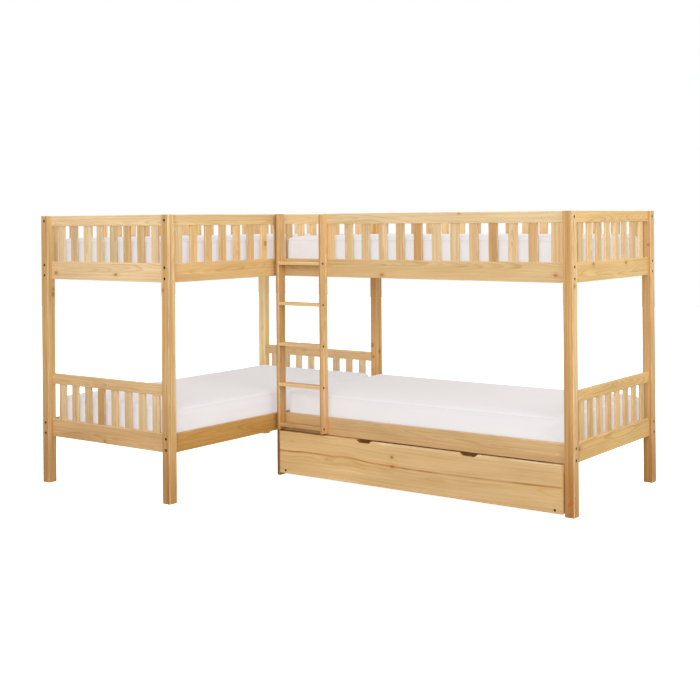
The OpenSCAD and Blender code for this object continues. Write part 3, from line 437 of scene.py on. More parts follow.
wood = bench.blend(take["Heart"], take["Early colour"], take["Heart colour"])
wood = bench.blend(bench.times(take["Late wood"], 0.78), wood, late)
wood = bench.blend(bench.times(bench.ease(take["Band"], 0.46, 0.72), 0.26), wood, take["Late colour"])
wood = bench.blend(bench.times(take["Halo"], 0.42), wood, take["Late colour"])
# painted shade: the wood is darkened towards the floor, where less light reaches it
wood = bench.blend(take["Foot"], wood, bench.blend(1.0, wood, FOOT_SHADE_BROWN, "MULTIPLY"))
# Stain darkens real stains in the wood, and on a few rails it is painted shade
wood = bench.blend(take["Stain"], wood, bench.blend(1.0, wood, take["Stain colour"], "MULTIPLY"))
level = bench.times(bench.minus(take["Tone"], 0.5), take["Tone spread"], 1.0)
for part, amount in (("Cloud", 0.34), ("Streak", take["Contrast"]), ("Fibre", 0.16)):
    level = bench.times(bench.minus(take[part], 0.5), amount, level)
# darker wood is also yellower, so green falls a little faster than red, and blue faster still
tones = bench.join(level, bench.sum("POWER", level, 1.25), bench.sum("POWER", level, 1.75))
wood = bench.blend(1.0, wood, tones, "MULTIPLY")
for part, amount, colour in (("End grain", 0.55, take["Late colour"]), ("Rubbed", 0.38, RUBBED_PALE),
                             ("Knot", 0.74, take["Knot colour"]), ("Knot rim", 0.42, BARK)):
    wood = bench.blend(bench.times(take[part], amount), wood, colour)
bench.feed(give["Colour"], wood)
sheen = bench.times(take["Fibre"], 0.16, 0.40)
for part, amount in (("Late wood", -0.07), ("Knot", -0.08), ("Rubbed", 0.16), ("End grain", 0.20)):
    sheen = bench.times(take[part], amount, sheen)
bench.feed(give["Roughness"], sheen)
relief = bench.times(take["Late wood"], 0.45, bench.times(take["Fibre"], 0.40))
bench.feed(give["Height"], bench.times(take["Knot rim"], -0.55, relief))
print(lacquered_pine.name, "has", len(lacquered_pine.nodes), "nodes")

# %% [markdown]
# ## From a board's facts to its material
# A joiner knows a board by the way its grain runs, its width and thickness, and how light the
# stock is. This function takes those facts and joins the groups above. Boards of one stock share
# colours, but each has its own cut, because the batch number differs.

# %% Stock colours
STOCK = {
    "cream": (0.84, 0.63, 0.36, 1),
    "pale": (0.79, 0.56, 0.29, 1),
    "straw": (0.73, 0.49, 0.23, 1),
    "honey": (0.66, 0.42, 0.175, 1),
    "ginger": (0.61, 0.38, 0.146, 1),
    "amber": (0.57, 0.33, 0.12, 1),
    "russet": (0.50, 0.285, 0.100, 1),
    "tan": (0.47, 0.25, 0.082, 1),
    "walnut": (0.20, 0.085, 0.028, 1),
}
LATE = (0.80, 0.66, 0.47)       # late wood, as a share of the early wood's red, green and blue
FOOT_SHADE = (0.75, -0.1, 0.0)        # painted shade: boards are darkened from this height down to this one, from this share on
AXES = "XYZ"
APART = 60                      # a pitch so long that all of a node is one board
NO_EDGE = (9, 9)                # half sizes so large that no edge is near

# %% Pine material from a board's facts
def millimetres(*lengths):
    return tuple(length / 1000 for length in lengths)

def shaded(colour, shade):
    return tuple(c * d for c, d in zip(colour, shade)) + (1,)

def third_axis(*two):
    return next(axis for axis in AXES if axis not in two)

# knots_at holds a middle and radii in mm; stains a middle, radii in mm and a strength
# for a darkened patch, most of them stains in the wood and some painted shade; and fades the two
# places along X between which the board takes on a tint
def pine(name, stock, along, wide, batch, half, first, pitch=(APART, APART, APART), ring=0.0036, depth=0.05,
         knots=0.30, spread=0.22, heart=None, heart_stock="amber", heart_shift=0.0, knots_at=(),
         shade=(1, 1, 1), foot=0.85, stains=(), line=(), contrast=0.7, fades=None):
    finish, bench, shader = start_material(name)
    place = bench.node("ShaderNodeTexCoord")
    here = place.outputs["Object"]
    found = bench.use(board_place, Position=here, First=tuple(first), Pitch=tuple(pitch), Batch=float(batch))
    parts = dict(zip(AXES, bench.apart(found["Local"])))
    stain = 0.0
    if line:
        drawn, off_line = long_line(bench, here, line)
        parts[wide] = bench.times(drawn, -0.8, parts[wide])
        stain = bench.ease(bench.sum("ABSOLUTE", off_line), 0.0075, 0.0025)
    grain = bench.join(parts[along], parts[wide], parts[third_axis(along, wide)])
    nearest = 9.0
    for middle, radii in knots_at:
        nearest = bench.use(placed_knot, Position=here, Middle=tuple(middle), Radii=millimetres(*radii),
                            Nearest=nearest)["Nearest"]
    figure = bench.use(pine_figure, Grain=grain, Shift=found["Shift"], Ring_width=ring, Pith_depth=depth,
                       Knots=knots, Placed_knot=nearest)
    edge = bench.use(rubbed_edge, Grain=grain, Half_width=half[0], Half_thickness=half[1])
    facing = bench.apart(bench.arrow("ABSOLUTE", place.outputs["Normal"]))[AXES.index(along)]
    side = 0.0
    # painted shade: the part of the board on the shade side of this plane takes the darker stock
    if heart:
        lean = bench.arrow("DOT_PRODUCT", found["Local"], tuple(heart))
        waver = bench.times(figure["Cloud"], 0.012, heart_shift - 0.006)
        side = bench.ease(bench.plus(lean, waver), -0.006, 0.006)
    if line:
        patchy = bench.cloud(bench.arrow("MULTIPLY", here, (5, 5, 5)), 1.0, 2.0)
        stain = bench.times(stain, bench.ease(patchy, 0.30, 0.62, 0.45, 1.0))
    for middle, radii, strength in stains:
        spot = bench.use(placed_knot, Position=here, Middle=tuple(middle),
                         Radii=millimetres(*radii))["Nearest"]
        spot = bench.times(bench.minus(figure["Streak"], 0.5), 1.3, spot)
        stain = bench.sum("MAXIMUM", stain, bench.ease(spot, 1.25, 0.70, 0.0, strength))
    early = shaded(STOCK[stock], shade)
    late = shaded(early, LATE)
    if fades:
        x_from, x_to, tint = fades
        early = bench.blend(bench.ease(bench.apart(here)[0], x_from, x_to), early, shaded(early, tint))
    # Foot is the strength of the painted shade towards the floor
    done = bench.use(lacquered_pine, Early_colour=early, Late_colour=late, Heart_colour=STOCK[heart_stock],
                     Foot=bench.ease(bench.apart(here)[2], *FOOT_SHADE, foot), Stain=stain, Contrast=contrast,
                     Streak=figure["Streak"], Band=figure["Band"], Heart=side, Tone=found["Tone"],
                     Tone_spread=spread, Late_wood=figure["Late wood"], Fibre=figure["Fibre"],
                     Cloud=figure["Cloud"], Knot=figure["Knot"], Knot_rim=figure["Knot rim"],
                     Halo=figure["Halo"], Rubbed=edge["Rubbed"], End_grain=bench.ease(facing, 0.6, 0.9))
    bench.feed(shader.inputs["Base Color"], done["Colour"])
    bench.feed(shader.inputs["Roughness"], done["Roughness"])
    set_bump(bench, shader, done["Height"], 0.35, 0.0004)
    shader.inputs["IOR"].default_value = 1.48
    shader.inputs["Coat Weight"].default_value = 0.12
    shader.inputs["Coat Roughness"].default_value = 0.28
    return finish

# %% A long wavy line in a board that runs along X: its height is read off a curve at each place
def long_line(bench, here, points, swing=0.08):
    xs, zs = [p.x for p in points], [p.z for p in points]
    curve = bench.node("ShaderNodeFloatCurve")
    curve.inputs["Factor"].default_value = 1.0
    middle = sum(zs) / len(zs)
    knees = curve.mapping.curves[0].points
    while len(knees) < len(points):
        knees.new(0.5, 0.5)
    for knee, x, z in zip(knees, xs, zs):
        knee.location = ((x - xs[0]) / (xs[-1] - xs[0]), 0.5 + (z - middle) / swing)
    curve.mapping.update()
    x, _, z = bench.apart(here)
    bench.feed(curve.inputs["Value"], bench.sum("DIVIDE", bench.minus(x, xs[0]), xs[-1] - xs[0]))
    drawn = bench.times(bench.minus(curve.outputs[0], 0.5), swing)
    return drawn, bench.minus(z, bench.plus(drawn, middle))

def dress(node, *finishes):
    mesh = board[node].data
    mesh.materials.clear()
    for finish in finishes:
        mesh.materials.append(finish)

batches = iter(range(1, 999))

# %% One board, and a row of equal boards
def one_board(node, stock, along, wide, **more):
    low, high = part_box(node)
    size = high - low
    half = (size[AXES.index(wide)] / 2, size[AXES.index(third_axis(along, wide))] / 2)
    dress(node, pine(node + "_pine", stock, along, wide, next(batches), half, (low + high) / 2, **more))

def row_of_boards(node, stock, along, wide, row, count, width, **more):
    low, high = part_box(node)
    size = high - low
    r = AXES.index(row)
    pitch, first = [APART, APART, APART], list((low + high) / 2)
    pitch[r] = (size[r] - width) / (count - 1)
    first[r] = low[r] + width / 2
    half = []
    for axis in (wide, third_axis(along, wide)):
        half.append(width / 2 if axis == row else size[AXES.index(axis)] / 2)
    dress(node, pine(node + "_pine", stock, along, wide, next(batches), half, first, pitch, **more))

print("ready to dress", sum(1 for n in board if "mattress" not in n), "rigid nodes")

# %% [markdown]
# ## Posts
# Six square posts carry the bed. On most of them the face towards the camera is painted browner
# than the face to its right, as painted shade. The two tones meet in a diagonal plane through the
# post, which the heart direction describes.

# %% Posts
diagonal = (-0.7071, -0.7071, 0)
one_board("post_left_front_outer", "straw", "Z", "X", ring=0.0042, knots=0.0, heart=diagonal,
          heart_stock="ginger", shade=(0.91, 0.90, 0.83), foot=0.62, contrast=1.35,
          knots_at=[(corner(-1018, -908, 1129), (12, 9, 13)), (corner(-1018, -905, 1159), (12, 7, 8))])
one_board("post_left_front_inner", "straw", "Z", "Y", ring=0.0042, knots=0.0, heart=diagonal,
          heart_stock="honey", shade=(1.02, 1.07, 1.12), foot=0.8, contrast=1.35,
          knots_at=[(corner(-42, -949, 1181), (8, 12, 9))])
# this back post is painted lighter than its stock: painted light, as it stands where little light reaches
one_board("post_left_back_outer", "cream", "Z", "X", ring=0.0040, knots=0.0, shade=(1.25, 1.25, 1.10),
          contrast=1.1)
one_board("post_left_back_inner", "honey", "Z", "X", ring=0.0040, knots=0.0, shade=(1.05, 0.975, 0.82),
          heart=diagonal, heart_stock="amber",
          knots_at=[(corner(-43, 1018, 702), (10, 12, 15)), (corner(-34, 1018, 624), (8, 12, 9)),
                    (corner(-54, 1018, 530), (9, 12, 12)), (corner(0, 1040, 661), (12, 9, 11))], contrast=1.2)
one_board("post_right_front", "pale", "Z", "Y", ring=0.0046, knots=0.0, heart=diagonal, heart_stock="russet",
          shade=(0.96, 0.96, 0.90), stains=[(corner(1952, 0, 60), (20, 20, 235), 0.28)], contrast=1.2,
          knots_at=[(corner(1970, 0, 82), (10, 10, 11)), (corner(1957, 0, 67), (9, 10, 9)),
                    (corner(1960, 0, 11), (11, 10, 10)), (corner(1985, 24, 1206), (9, 9, 9))])
one_board("post_right_back", "straw", "Z", "X", ring=0.0042, knots=0.0, contrast=1.2,
          knots_at=[(corner(1971, 1018, 1400), (9, 9, 8))], heart=diagonal, heart_stock="amber")
# its face towards the camera is painted near black brown: painted shade of the narrow gap it stands in
one_board("corner_support", "tan", "Z", "Y", ring=0.0040, foot=0.3, heart=(0, -1, 0), heart_stock="walnut",
          heart_shift=-0.016)
print("posts dressed")

# %% [markdown]
# ## Rails
# The long rails are flat sawn boards with broad arches and scattered knots. The rails of each end
# panel are in one drawing node: two wide ones and two narrow ones at the same distance, so each
# kind gets a material of its own and its faces are picked out by their height.

# %% Side rails
AS_CUT = (1, 1, 1)
LEFT_RAILS = {
    "left_upper_outer_rail": ("straw", AS_CUT), "left_upper_inner_rail": ("straw", (0.90, 0.87, 0.76)),
    "left_lower_outer_rail": ("straw", AS_CUT), "left_lower_inner_rail": ("amber", (0.98, 1.00, 0.79)),
    "left_outer_guard_rail": ("straw", AS_CUT), "left_inner_guard_rail": ("pale", (0.95, 0.97, 0.93)),
}
RIGHT_RAILS = {
    "right_upper_front_rail": ("pale", (0.79, 0.78, 0.72)), "right_upper_back_rail": ("straw", AS_CUT),
    "right_lower_front_rail": ("pale", (0.95, 1.01, 1.09)), "right_lower_back_rail": ("straw", AS_CUT),
    "right_front_guard_rail": ("cream", (0.86, 0.89, 0.90)), "right_back_guard_rail": ("straw", AS_CUT),
}
RAIL_KNOTS = {      # x, z and radius of a knot, in mm
    "right_upper_front_rail": ((1878, 1261, 11), (755, 1241, 11)),
    "right_front_guard_rail": ((1283, 1592, 6),),
}
for node, (stock, shade) in LEFT_RAILS.items():
    one_board(node, stock, "Y", "Z", ring=0.0044, knots=0.0, shade=shade, contrast=0.6)
for node, (stock, shade) in RIGHT_RAILS.items():
    knots_at = [(corner(x, 18.5, z), (r, 12, r * 0.7)) for x, z, r in RAIL_KNOTS.get(node, ())]
    one_board(node, stock, "X", "Z", ring=0.0044, knots=0.0, shade=shade, contrast=0.5, knots_at=knots_at)
print("side rails dressed")

# %% Rails of the end panels
STOREY = 0.947                                # from a lower rail to the upper one like it
WIDE_HEIGHT, WIDE_HALF = 0.328, 0.053         # the lower wide rail's middle, and half its width
NARROW_HEIGHT, NARROW_HALF = 0.622, 0.031     # the same for the narrow rail above it

def panel_rails(node, along, stock, shade=AS_CUT, narrow_shade=AS_CUT, **more):
    low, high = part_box(node)
    thick = (high - low)[AXES.index(third_axis(along, "Z"))] / 2
    middle = (low + high) / 2
    pitch = (APART, APART, STOREY)
    wide = pine(node + "_wide_pine", stock, along, "Z", next(batches), (WIDE_HALF, thick),
                (middle.x, middle.y, WIDE_HEIGHT), pitch, ring=0.0046, shade=shade, **more)
    narrow = pine(node + "_narrow_pine", stock, along, "Z", next(batches), (NARROW_HALF, thick),
                  (middle.x, middle.y, NARROW_HEIGHT), pitch, ring=0.0040, shade=narrow_shade, **more)
    dress(node, wide, narrow)
    below, between = 0.2, 0.49
    for face in board[node].data.polygons:
        face.material_index = 0 if (face.center.z - below) % STOREY < between - below else 1

# the two stains on this panel's lower rails are painted shade, darkening them towards the floor
panel_rails("left_front_panel_rails", "X", "cream", knots=0.0,
            stains=[(corner(-532, -921, 622), (700, 60, 70), 0.25),
                    (corner(-532, -921, 330), (700, 60, 90), 0.22)],
            contrast=0.55,
            knots_at=[(corner(-978, -921, 1260), (13, 12, 9)), (corner(-456, -921, 1258), (14, 12, 7)),
                      (corner(-560, -921, 290), (10, 12, 7))])
panel_rails("left_back_panel_rails", "X", "pale", knots=0.04)
panel_rails("right_end_panel_rails", "Y", "straw", knots=0.0, shade=(1.12, 1.17, 1.03),
            narrow_shade=(1.05, 1.04, 0.88), foot=0.30, contrast=0.6,
            knots_at=[(corner(1966, 101, 343), (14, 12, 10)), (corner(1966, 712, 1306), (12, 14, 8)),
                      (corner(1966, 288, 1312), (12, 12, 7))])
print("panel rails dressed")

# %% [markdown]
# ## Slats and guards
# Slats are thin and cut from whatever was left, so their tones differ the most, from straw to a
# reddish honey. They share one material a row, and the board place group tells them apart.

# %% Slats of the panels and guards
SLAT = 0.056
WHOLE_SLAT = (36, 40, 400)      # radii in mm of a stain that takes in one slat
FRONT_STAINS = {"left_front_upper_slats": {3: 0.12, 5: 0.58, 6: 0.40},
                "left_front_lower_slats": {3: 0.7, 5: 0.15}}
GUARD_STAINS = {3: 0.28, 4: 0.72, 7: 0.32, 8: 0.58, 10: 0.50}

# stains on some slats of a row along X, counted from the left
def slat_stains(node, count, strengths):
    low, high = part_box(node)
    step = (high.x - low.x - SLAT) / (count - 1)
    return [(Vector((low.x + SLAT / 2 + k * step, low.y, (low.z + high.z) / 2)), WHOLE_SLAT, strength)
            for k, strength in strengths.items()]

def slats(node, stock, row, count, **more):
    row_of_boards(node, stock, "Z", row, row, count, SLAT, ring=0.0034, depth=0.035, **more)

for node, stock in (("left_front_upper_slats", "straw"), ("left_front_lower_slats", "straw"),
                    ("left_back_upper_slats", "pale"), ("left_back_lower_slats", "pale")):
    slats(node, stock, "X", 8, spread=0.26, knots=0.0, shade=(1.0, 1.13, 1.36),
          stains=slat_stains(node, 8, FRONT_STAINS.get(node, {})))
for node in ("right_end_upper_slats", "right_end_lower_slats"):
    slats(node, "straw", "Y", 8, spread=0.20, knots=0.0, shade=(1.07, 1.12, 1.15))
for node in ("left_outer_guard_slats", "left_inner_guard_slats"):
    slats(node, "straw", "Y", 14, spread=0.28, knots=0.03)
slats("right_front_guard_slats", "straw", "X", 11, spread=0.14, knots=0.0, shade=(0.93, 1.01, 1.18),
      stains=slat_stains("right_front_guard_slats", 11, GUARD_STAINS))
slats("right_back_guard_slats", "straw", "X", 14, spread=0.28, knots=0.03)
dress("guard_end_boards", pine("guard_end_boards_pine", "straw", "Z", "Y", next(batches), NO_EDGE,
      (-0.155, 0.237, 1.4), (0.6, 0.6, APART), ring=0.0038, spread=0.12, knots=0.0, shade=(0.97, 1.04, 1.14)))
print("slats dressed")

# %% [markdown]
# ## Decks
# The mattress slats and the ledgers they lie on were never meant to be seen, so they are plain
# straight grained stock with more knots. The ledgers run both ways in one node, so the faces are
# sorted by the wing they are in.

# %% Decks and ledgers
DECK_SLAT, DECK_PITCH = 0.07, 0.143
for node, along, row in (("left_upper_bed_slats", "X", "Y"), ("left_lower_bed_slats", "X", "Y"),
                         ("right_upper_bed_slats", "Y", "X"), ("right_lower_bed_slats", "Y", "X")):
    low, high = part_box(node)
    reach = (high - low)[AXES.index(row)]
    count = round((reach - DECK_SLAT) / DECK_PITCH) + 1
    row_of_boards(node, "straw", along, row, row, count, DECK_SLAT, knots=0.45, spread=0.3)
low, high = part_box("slat_ledgers")
middle = (low + high) / 2
dress("slat_ledgers",
      pine("left_ledger_pine", "straw", "Y", "Z", next(batches), NO_EDGE, (low.x, middle.y, 0.4),
           (0.5, APART, 0.6)),
      pine("right_ledger_pine", "straw", "X", "Z", next(batches), NO_EDGE, (middle.x, low.y, 0.4),
           (APART, 0.5, 0.6)))
for face in board["slat_ledgers"].data.polygons:
    face.material_index = 0 if face.center.x < corner(0, 0, 0).x else 1
print("decks dressed")

# %% [markdown]
# ## Ladder
# Two stiles stand on edge and five rungs are let into them. Feet have polished the rungs, and the
# stiles' front edges are the brownest wood of the whole front; on the right stile that brown is
# painted shade.

# %% Ladder
one_board("ladder_left_stile", "honey", "Z", "Y", ring=0.0038, knots=0.0, shade=(1.03, 1.0, 0.94),
          contrast=1.0)
# the right stile's front edge is painted darker, as painted shade
one_board("ladder_right_stile", "straw", "Z", "Y", ring=0.0038, knots=0.0, heart=(0, -1, 0),
          heart_stock="tan", heart_shift=-0.026, contrast=1.0)
row_of_boards("ladder_rungs", "straw", "X", "Y", "Z", 5, 0.020, ring=0.0038, knots=0.15, spread=0.2)
print("ladder dressed")

# %% [markdown]
# ## Trundle
# The low bed on wheels is hidden but for its front, a single wide board with bold dark figure. Its
# frame and slats are the same plain stock as the decks. Its ledgers, its batten and its two upright
# cleats share a drawing node, so the cleats' faces are found by where they are.

# %% Trundle
FRONT_LINE = ((6, 157), (70, 155), (211, 161), (319, 161), (410, 158), (492, 164), (680, 152), (846, 147),
              (1245, 145), (1926, 156))
one_board("trundle_front", "pale", "X", "Z", ring=0.0062, depth=0.06, knots=0.0, foot=0.26,
          shade=(1.05, 1.06, 1.01), contrast=0.5, fades=(-0.40, 0.95, (0.80, 0.82, 0.86)),
          stains=[(corner(102, -21, 220), (22, 12, 8), 0.25)], line=[corner(x, 0, z) for x, z in FRONT_LINE],
          knots_at=[(corner(843, -21, 200), (11, 12, 8)), (corner(846, -21, 147), (15, 12, 8))])
one_board("trundle_back", "straw", "X", "Z", knots=0.4)
row_of_boards("trundle_sides", "straw", "Y", "Z", "X", 2, 0.020, knots=0.4)
row_of_boards("trundle_slats", "straw", "Y", "X", "X", 9, DECK_SLAT, knots=0.3)
low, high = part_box("trundle_dowels")
dress("trundle_dowels", pine("trundle_dowel_pine", "pale", "Y", "Z", next(batches), NO_EDGE,
      (low.x, low.y, 0.04), (0.2, APART, 0.06), knots=0.0))
low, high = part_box("trundle_battens")
CLEAT_HALF, CLEATS_APART, CLEAT_TOP, CLEAT_REACH = 0.038, 1.832, 0.2315, 0.1
dress("trundle_battens",
      pine("trundle_batten_pine", "straw", "X", "Z", next(batches), NO_EDGE, (0.4, low.y, 0.05),
           (APART, 0.4, 0.2), knots=0.1),
      pine("trundle_cleat_pine", "straw", "Z", "X", next(batches), NO_EDGE, (low.x + CLEAT_HALF, low.y, 0.12),
           (CLEATS_APART, APART, APART), knots=0.2))
for face in board["trundle_battens"].data.polygons:
    from_end = min(face.center.x - low.x, high.x - face.center.x)
    face.material_index = 1 if from_end < CLEAT_REACH and face.center.z < CLEAT_TOP else 0

# %% [markdown]
# ## Steel and wheels
# Bolts and barrel nuts are blackened steel and the screws browned, both matt with oil; only the
# axles are left bright. All are faintly mottled. The wheels are moulded plastic with a fine stipple
# and scuffs.

# %% Group: turned steel
turned_steel, bench, take, give = start_group("turned steel",
    [("Position", "vector", (0, 0, 0)), ("Dark colour", "colour", (0.10, 0.10, 0.105, 1)),
     ("Bright colour", "colour", (0.34, 0.34, 0.35, 1))],
    [("Colour", "colour"), ("Roughness", "number"), ("Height", "number")])
fine = bench.cloud(bench.arrow("MULTIPLY", take["Position"], (900, 900, 900)), 1.0, 2.0)
broad = bench.cloud(bench.arrow("MULTIPLY", take["Position"], (70, 70, 70)), 1.0, 3.0)
steel_tone = bench.blend(bench.ease(broad, 0.3, 0.75), take["Dark colour"], take["Bright colour"])
bench.feed(give["Colour"], steel_tone)
bench.feed(give["Roughness"], bench.times(fine, 0.25, 0.28))
bench.feed(give["Height"], fine)

def steel(name, dark, bright, metal):
    finish, bench, shader = start_material(name)
    made = bench.use(turned_steel, Position=bench.node("ShaderNodeTexCoord").outputs["Object"],
                     Dark_colour=dark, Bright_colour=bright)
    bench.feed(shader.inputs["Base Color"], made["Colour"])
    bench.feed(shader.inputs["Roughness"], made["Roughness"])
    shader.inputs["Metallic"].default_value = metal
    set_bump(bench, shader, made["Height"], 0.25, 0.0002)
    return finish

bolt_steel = steel("bolt_steel", (0.006, 0.005, 0.0045, 1), (0.022, 0.018, 0.015, 1), 0.15)
screw_steel = steel("screw_steel", (0.028, 0.018, 0.010, 1), (0.07, 0.046, 0.026, 1), 0.3)
axle_steel = steel("axle_steel", (0.10, 0.09, 0.08, 1), (0.38, 0.35, 0.30, 1), 0.9)
for node in ("bed_bolts", "barrel_nuts"):
    dress(node, bolt_steel)
for node in ("wood_screws", "trundle_screws"):
    dress(node, screw_steel)
dress("trundle_axles", axle_steel)
print("steel dressed")

# %% Wheels
wheel_plastic, bench, shader = start_material("wheel_plastic")
here = bench.node("ShaderNodeTexCoord").outputs["Object"]
stipple = bench.cloud(here, 1400.0, 1.0)
scuff = bench.ease(bench.cloud(bench.arrow("MULTIPLY", here, (300, 60, 60)), 1.0, 4.0), 0.55, 0.72)
bench.feed(shader.inputs["Base Color"], bench.blend(bench.times(scuff, 0.5), (0.022, 0.022, 0.024, 1),
                                                    (0.11, 0.105, 0.10, 1)))
bench.feed(shader.inputs["Roughness"], bench.times(scuff, 0.25, 0.42))
set_bump(bench, shader, stipple, 0.3, 0.0003)
for node in board:
    if node.startswith("trundle_wheel"):
        dress(node, wheel_plastic)
print("wheels dressed")

# %% [markdown]
# ## Mattress ticking
# The covers are white woven ticking, and they glow a little: that glow is painted light, which keeps
# them bright in the shade of the beds above. The ribs are a few millimetres apart and stand upright
# on the sides, and the cloth has a faint grey mottle. The seam under each edge is pressed in, and
# the thin darker line along it is painted shade. The rib pattern is made from the piece's own place,
# so it is the same size on every mattress.

# %% Group: ticking weave
FULL_TURN = 6.28318
ticking_weave, bench, take, give = start_group("ticking weave",
    [("Position", "vector", (0, 0, 0)), ("Rib", "number", 0.0042)],
    [("Weave", "number"), ("Mottle", "number"), ("Puff", "number")])
x, y, z = bench.apart(take["Position"])
turns = bench.sum("DIVIDE", FULL_TURN, take["Rib"])
rib_x = bench.sum("SINE", bench.times(x, turns))
rib_y = bench.sum("SINE", bench.times(y, turns))
pick = bench.sum("SINE", bench.times(z, bench.times(turns, 1.7)))
weave = bench.times(bench.plus(rib_x, rib_y), 0.2, bench.times(pick, 0.1, 0.5))
bench.feed(give["Weave"], weave)
bench.feed(give["Mottle"], bench.cloud(take["Position"], 9.0, 4.0))
bench.feed(give["Puff"], bench.cloud(take["Position"], 3.1, 2.0))
print(ticking_weave.name, "has", len(ticking_weave.nodes), "nodes")

# %% Ticking
def ticking(name, tint, seams, glow, seam_shade=0.5):
    finish, bench, shader = start_material(name)
    here = bench.node("ShaderNodeTexCoord").outputs["Object"]
    made = bench.use(ticking_weave, Position=here)
    z = bench.apart(here)[2]
    seam = 0.0
    for height in seams:
        gap = bench.sum("ABSOLUTE", bench.minus(z, height))
        seam = bench.sum("MAXIMUM", bench.ease(gap, 0.0050, 0.0015), seam)
    dim = tuple(c * 0.93 for c in tint[:3]) + (1,)
    cloth = bench.blend(bench.ease(made["Weave"], 0.2, 0.8), dim, tint)
    cloth = bench.blend(bench.ease(made["Mottle"], 0.35, 0.7, 0.0, 0.35), cloth, dim)
    # painted shade along the pressed-in seams
    cloth = bench.blend(bench.times(seam, seam_shade), cloth, tuple(c * 0.6 for c in tint[:3]) + (1,))
    bench.feed(shader.inputs["Base Color"], cloth)
    bench.feed(shader.inputs["Roughness"], bench.times(made["Weave"], 0.12, 0.78))
    shader.inputs["Sheen Weight"].default_value = 0.15
    # the glow is painted light, and at the seam it is dimmed as painted shade
    painted_glow_colour = bench.blend(bench.ease(made["Weave"], 0.2, 0.8), (0.93, 0.92, 0.93, 1), (0.97, 0.96, 0.97, 1))
    painted_glow_colour = bench.blend(bench.times(seam, seam_shade), painted_glow_colour, (0.72, 0.71, 0.71, 1))
    bench.feed(shader.inputs["Emission Color"], painted_glow_colour)
    shader.inputs["Emission Strength"].default_value = glow
    height = bench.times(made["Weave"], 0.30, bench.times(made["Puff"], 2.0))
    set_bump(bench, shader, bench.times(seam, -1.2, height), 0.5, 0.0012)
    return finish

# %% [markdown]
# ## Mattresses
# A mattress is a foam core in a tight cover. The core's drawn solid is copied, made a few
# millimetres smaller, remeshed to an even net and blown up as cloth. In twenty steps the pressure
# moves this net much further than a filled cover goes, so every point is brought back to within a
# cap: the pressure gives the direction, and the cap the amount. The sides end a centimetre or
# more inside the drawn core, and the top is held just above it. The piping comes last: a
# cord laid along the seam, on the shape that the cap left.

# %% Net of one mattress
def applied(piece):
    graph = bpy.context.evaluated_depsgraph_get()
    mesh = bpy.data.meshes.new_from_object(piece.evaluated_get(graph), depsgraph=graph)
    piece.modifiers.clear()
    piece.data = mesh
    return piece

NET_SIZE = 0.0115
START_LESS = (0.002, 0.002, 0.006)      # what the copy loses on each side before it swells

def mattress_net(node, name):
    low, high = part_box(node)
    middle = (low + high) / 2
    shape = bmesh.new()
    shape.from_mesh(board[node].data)
    bmesh.ops.remove_doubles(shape, verts=shape.verts, dist=0.00005)
    bmesh.ops.recalc_face_normals(shape, faces=shape.faces)
    factor = [1 - 2 * cut / side for cut, side in zip(START_LESS, high - low)]
    shrink = Matrix.Translation(middle) @ Matrix.Diagonal((*factor, 1)) @ Matrix.Translation(-middle)
    bmesh.ops.transform(shape, verts=shape.verts, matrix=shrink)
    mesh = bpy.data.meshes.new(name)
    shape.to_mesh(mesh)
    shape.free()
    piece = bpy.data.objects.new(name, mesh)
    scene.collection.objects.link(piece)
    net = piece.modifiers.new("net", "REMESH")
    net.mode, net.voxel_size = "VOXEL", NET_SIZE
    return applied(piece)

covers = {}
for node in ("left_upper_mattress", "left_lower_mattress", "right_upper_mattress", "right_lower_mattress"):
    covers[node] = mattress_net(node, node + "_cover")
    print(covers[node].name, "has", len(covers[node].data.vertices), "points")

# %% Blow the covers up
start_places = {node: [v.co.copy() for v in cover.data.vertices] for node, cover in covers.items()}
for cover in covers.values():
    cloth = cover.modifiers.new("cover", "CLOTH")
    cloth.settings.use_pressure = True
    cloth.settings.uniform_pressure_force = 4
    cloth.settings.effector_weights.gravity = 0
    cloth.settings.quality = 4
    cloth.settings.mass = 0.35
    cloth.settings.tension_stiffness = cloth.settings.compression_stiffness = 20
    cloth.settings.bending_stiffness = 2
for moment in range(1, 21):
    scene.frame_set(moment)
for cover in covers.values():
    applied(cover)
scene.frame_set(1)
for node, cover in covers.items():
    moved = [(v.co - p).length for v, p in zip(cover.data.vertices, start_places[node])]
    print(node, "moved at most", round(max(moved) * 1000, 1), "mm")

# %% Cap the movement and keep clear of the rails
CAP, SIDE_CLEAR, CROWN = 0.011, 0.0006, 0.002

def settle(node, cover):
    low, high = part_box(node)
    least = low + Vector((SIDE_CLEAR, SIDE_CLEAR, 0))
    most = high + Vector((-SIDE_CLEAR, -SIDE_CLEAR, CROWN))
    for vertex, place in zip(cover.data.vertices, start_places[node]):
        step = vertex.co - place
        if step.length > CAP:
            vertex.co = place + step.normalized() * CAP
        for axis in range(3):
            vertex.co[axis] = min(max(vertex.co[axis], least[axis]), most[axis])
    for face in cover.data.polygons:
        face.use_smooth = True

for node, cover in covers.items():
    settle(node, cover)
    print(cover.name, "has", len(cover.data.polygons), "faces")

# %% Piping along a seam
PIPING_RADIUS, PIPING_SUNK, PIPING_STEP, PIPING_BEND = 0.0034, 0.45, 0.04, 0.03

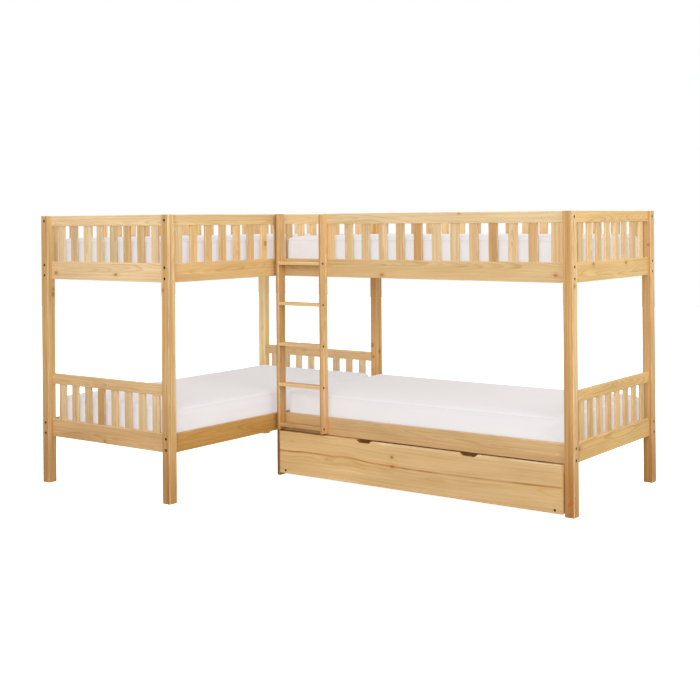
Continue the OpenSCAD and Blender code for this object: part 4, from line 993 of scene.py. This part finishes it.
def piping(node, cover, height, name):
    low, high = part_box(node)
    skin = BVHTree.FromPolygons([v.co for v in cover.data.vertices],
                                [p.vertices[:] for p in cover.data.polygons])
    middle, inner = (low + high) / 2, (high - low) / 2
    points = []
    for sx, sy, start in ((1, 1, 0), (-1, 1, 90), (-1, -1, 180), (1, -1, 270)):
        knee = Vector((middle.x + sx * (inner.x - PIPING_BEND),
                       middle.y + sy * (inner.y - PIPING_BEND), height))
        for degree in range(0, 91, 15):
            angle = math.radians(start + degree)
            points.append((knee, Vector((math.cos(angle), math.sin(angle), 0))))
    path = []
    for (knee, way), (next_knee, next_way) in zip(points, points[1:] + points[:1]):
        steps = max(1, round((next_knee - knee).length / PIPING_STEP))
        for part in range(steps):
            share = part / steps
            spot = knee.lerp(next_knee, share)
            out = way.lerp(next_way, share).normalized()
            hit = skin.ray_cast(spot + out * 0.3, -out)[0]
            path.append(hit - out * PIPING_RADIUS * PIPING_SUNK)
    line = bpy.data.curves.new(name, "CURVE")
    line.dimensions = "3D"
    spline = line.splines.new("POLY")
    spline.points.add(len(path) - 1)
    for point, place in zip(spline.points, path):
        point.co = (*place, 1)
    spline.use_cyclic_u = True
    line.bevel_depth, line.bevel_resolution = PIPING_RADIUS, 2
    cord = bpy.data.objects.new(name, line)
    scene.collection.objects.link(cord)
    mesh = bpy.data.meshes.new_from_object(cord)
    bpy.data.objects.remove(cord)
    tube = bpy.data.objects.new(name, mesh)
    scene.collection.objects.link(tube)
    for face in mesh.polygons:
        face.use_smooth = True
    return tube

# %% Cover and pipe each mattress
# PAINTED_GLOW is painted light: the covers glow so they stay bright in the beds' shade
WHITE, PAINTED_GLOW, SEAM_IN = (0.405, 0.388, 0.392, 1), 0.435, 0.022
for node, cover in covers.items():
    low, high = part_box(node)
    seams = (high.z - SEAM_IN, low.z + SEAM_IN)
    finish = ticking(node + "_ticking", WHITE, seams, PAINTED_GLOW, 0.7 if "upper" in node else 0.25)
    cover.data.materials.append(finish)
    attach(cover, "frame")
    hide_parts(node)
    cord_finish = ticking(node + "_piping_cloth", WHITE, (), PAINTED_GLOW)
    for label, height in zip(("top", "bottom"), seams):
        cord = piping(node, cover, height, node + "_" + label + "_piping")
        cord.data.materials.append(cord_finish)
        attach(cord, "frame")
    print(node, "is covered and piped")
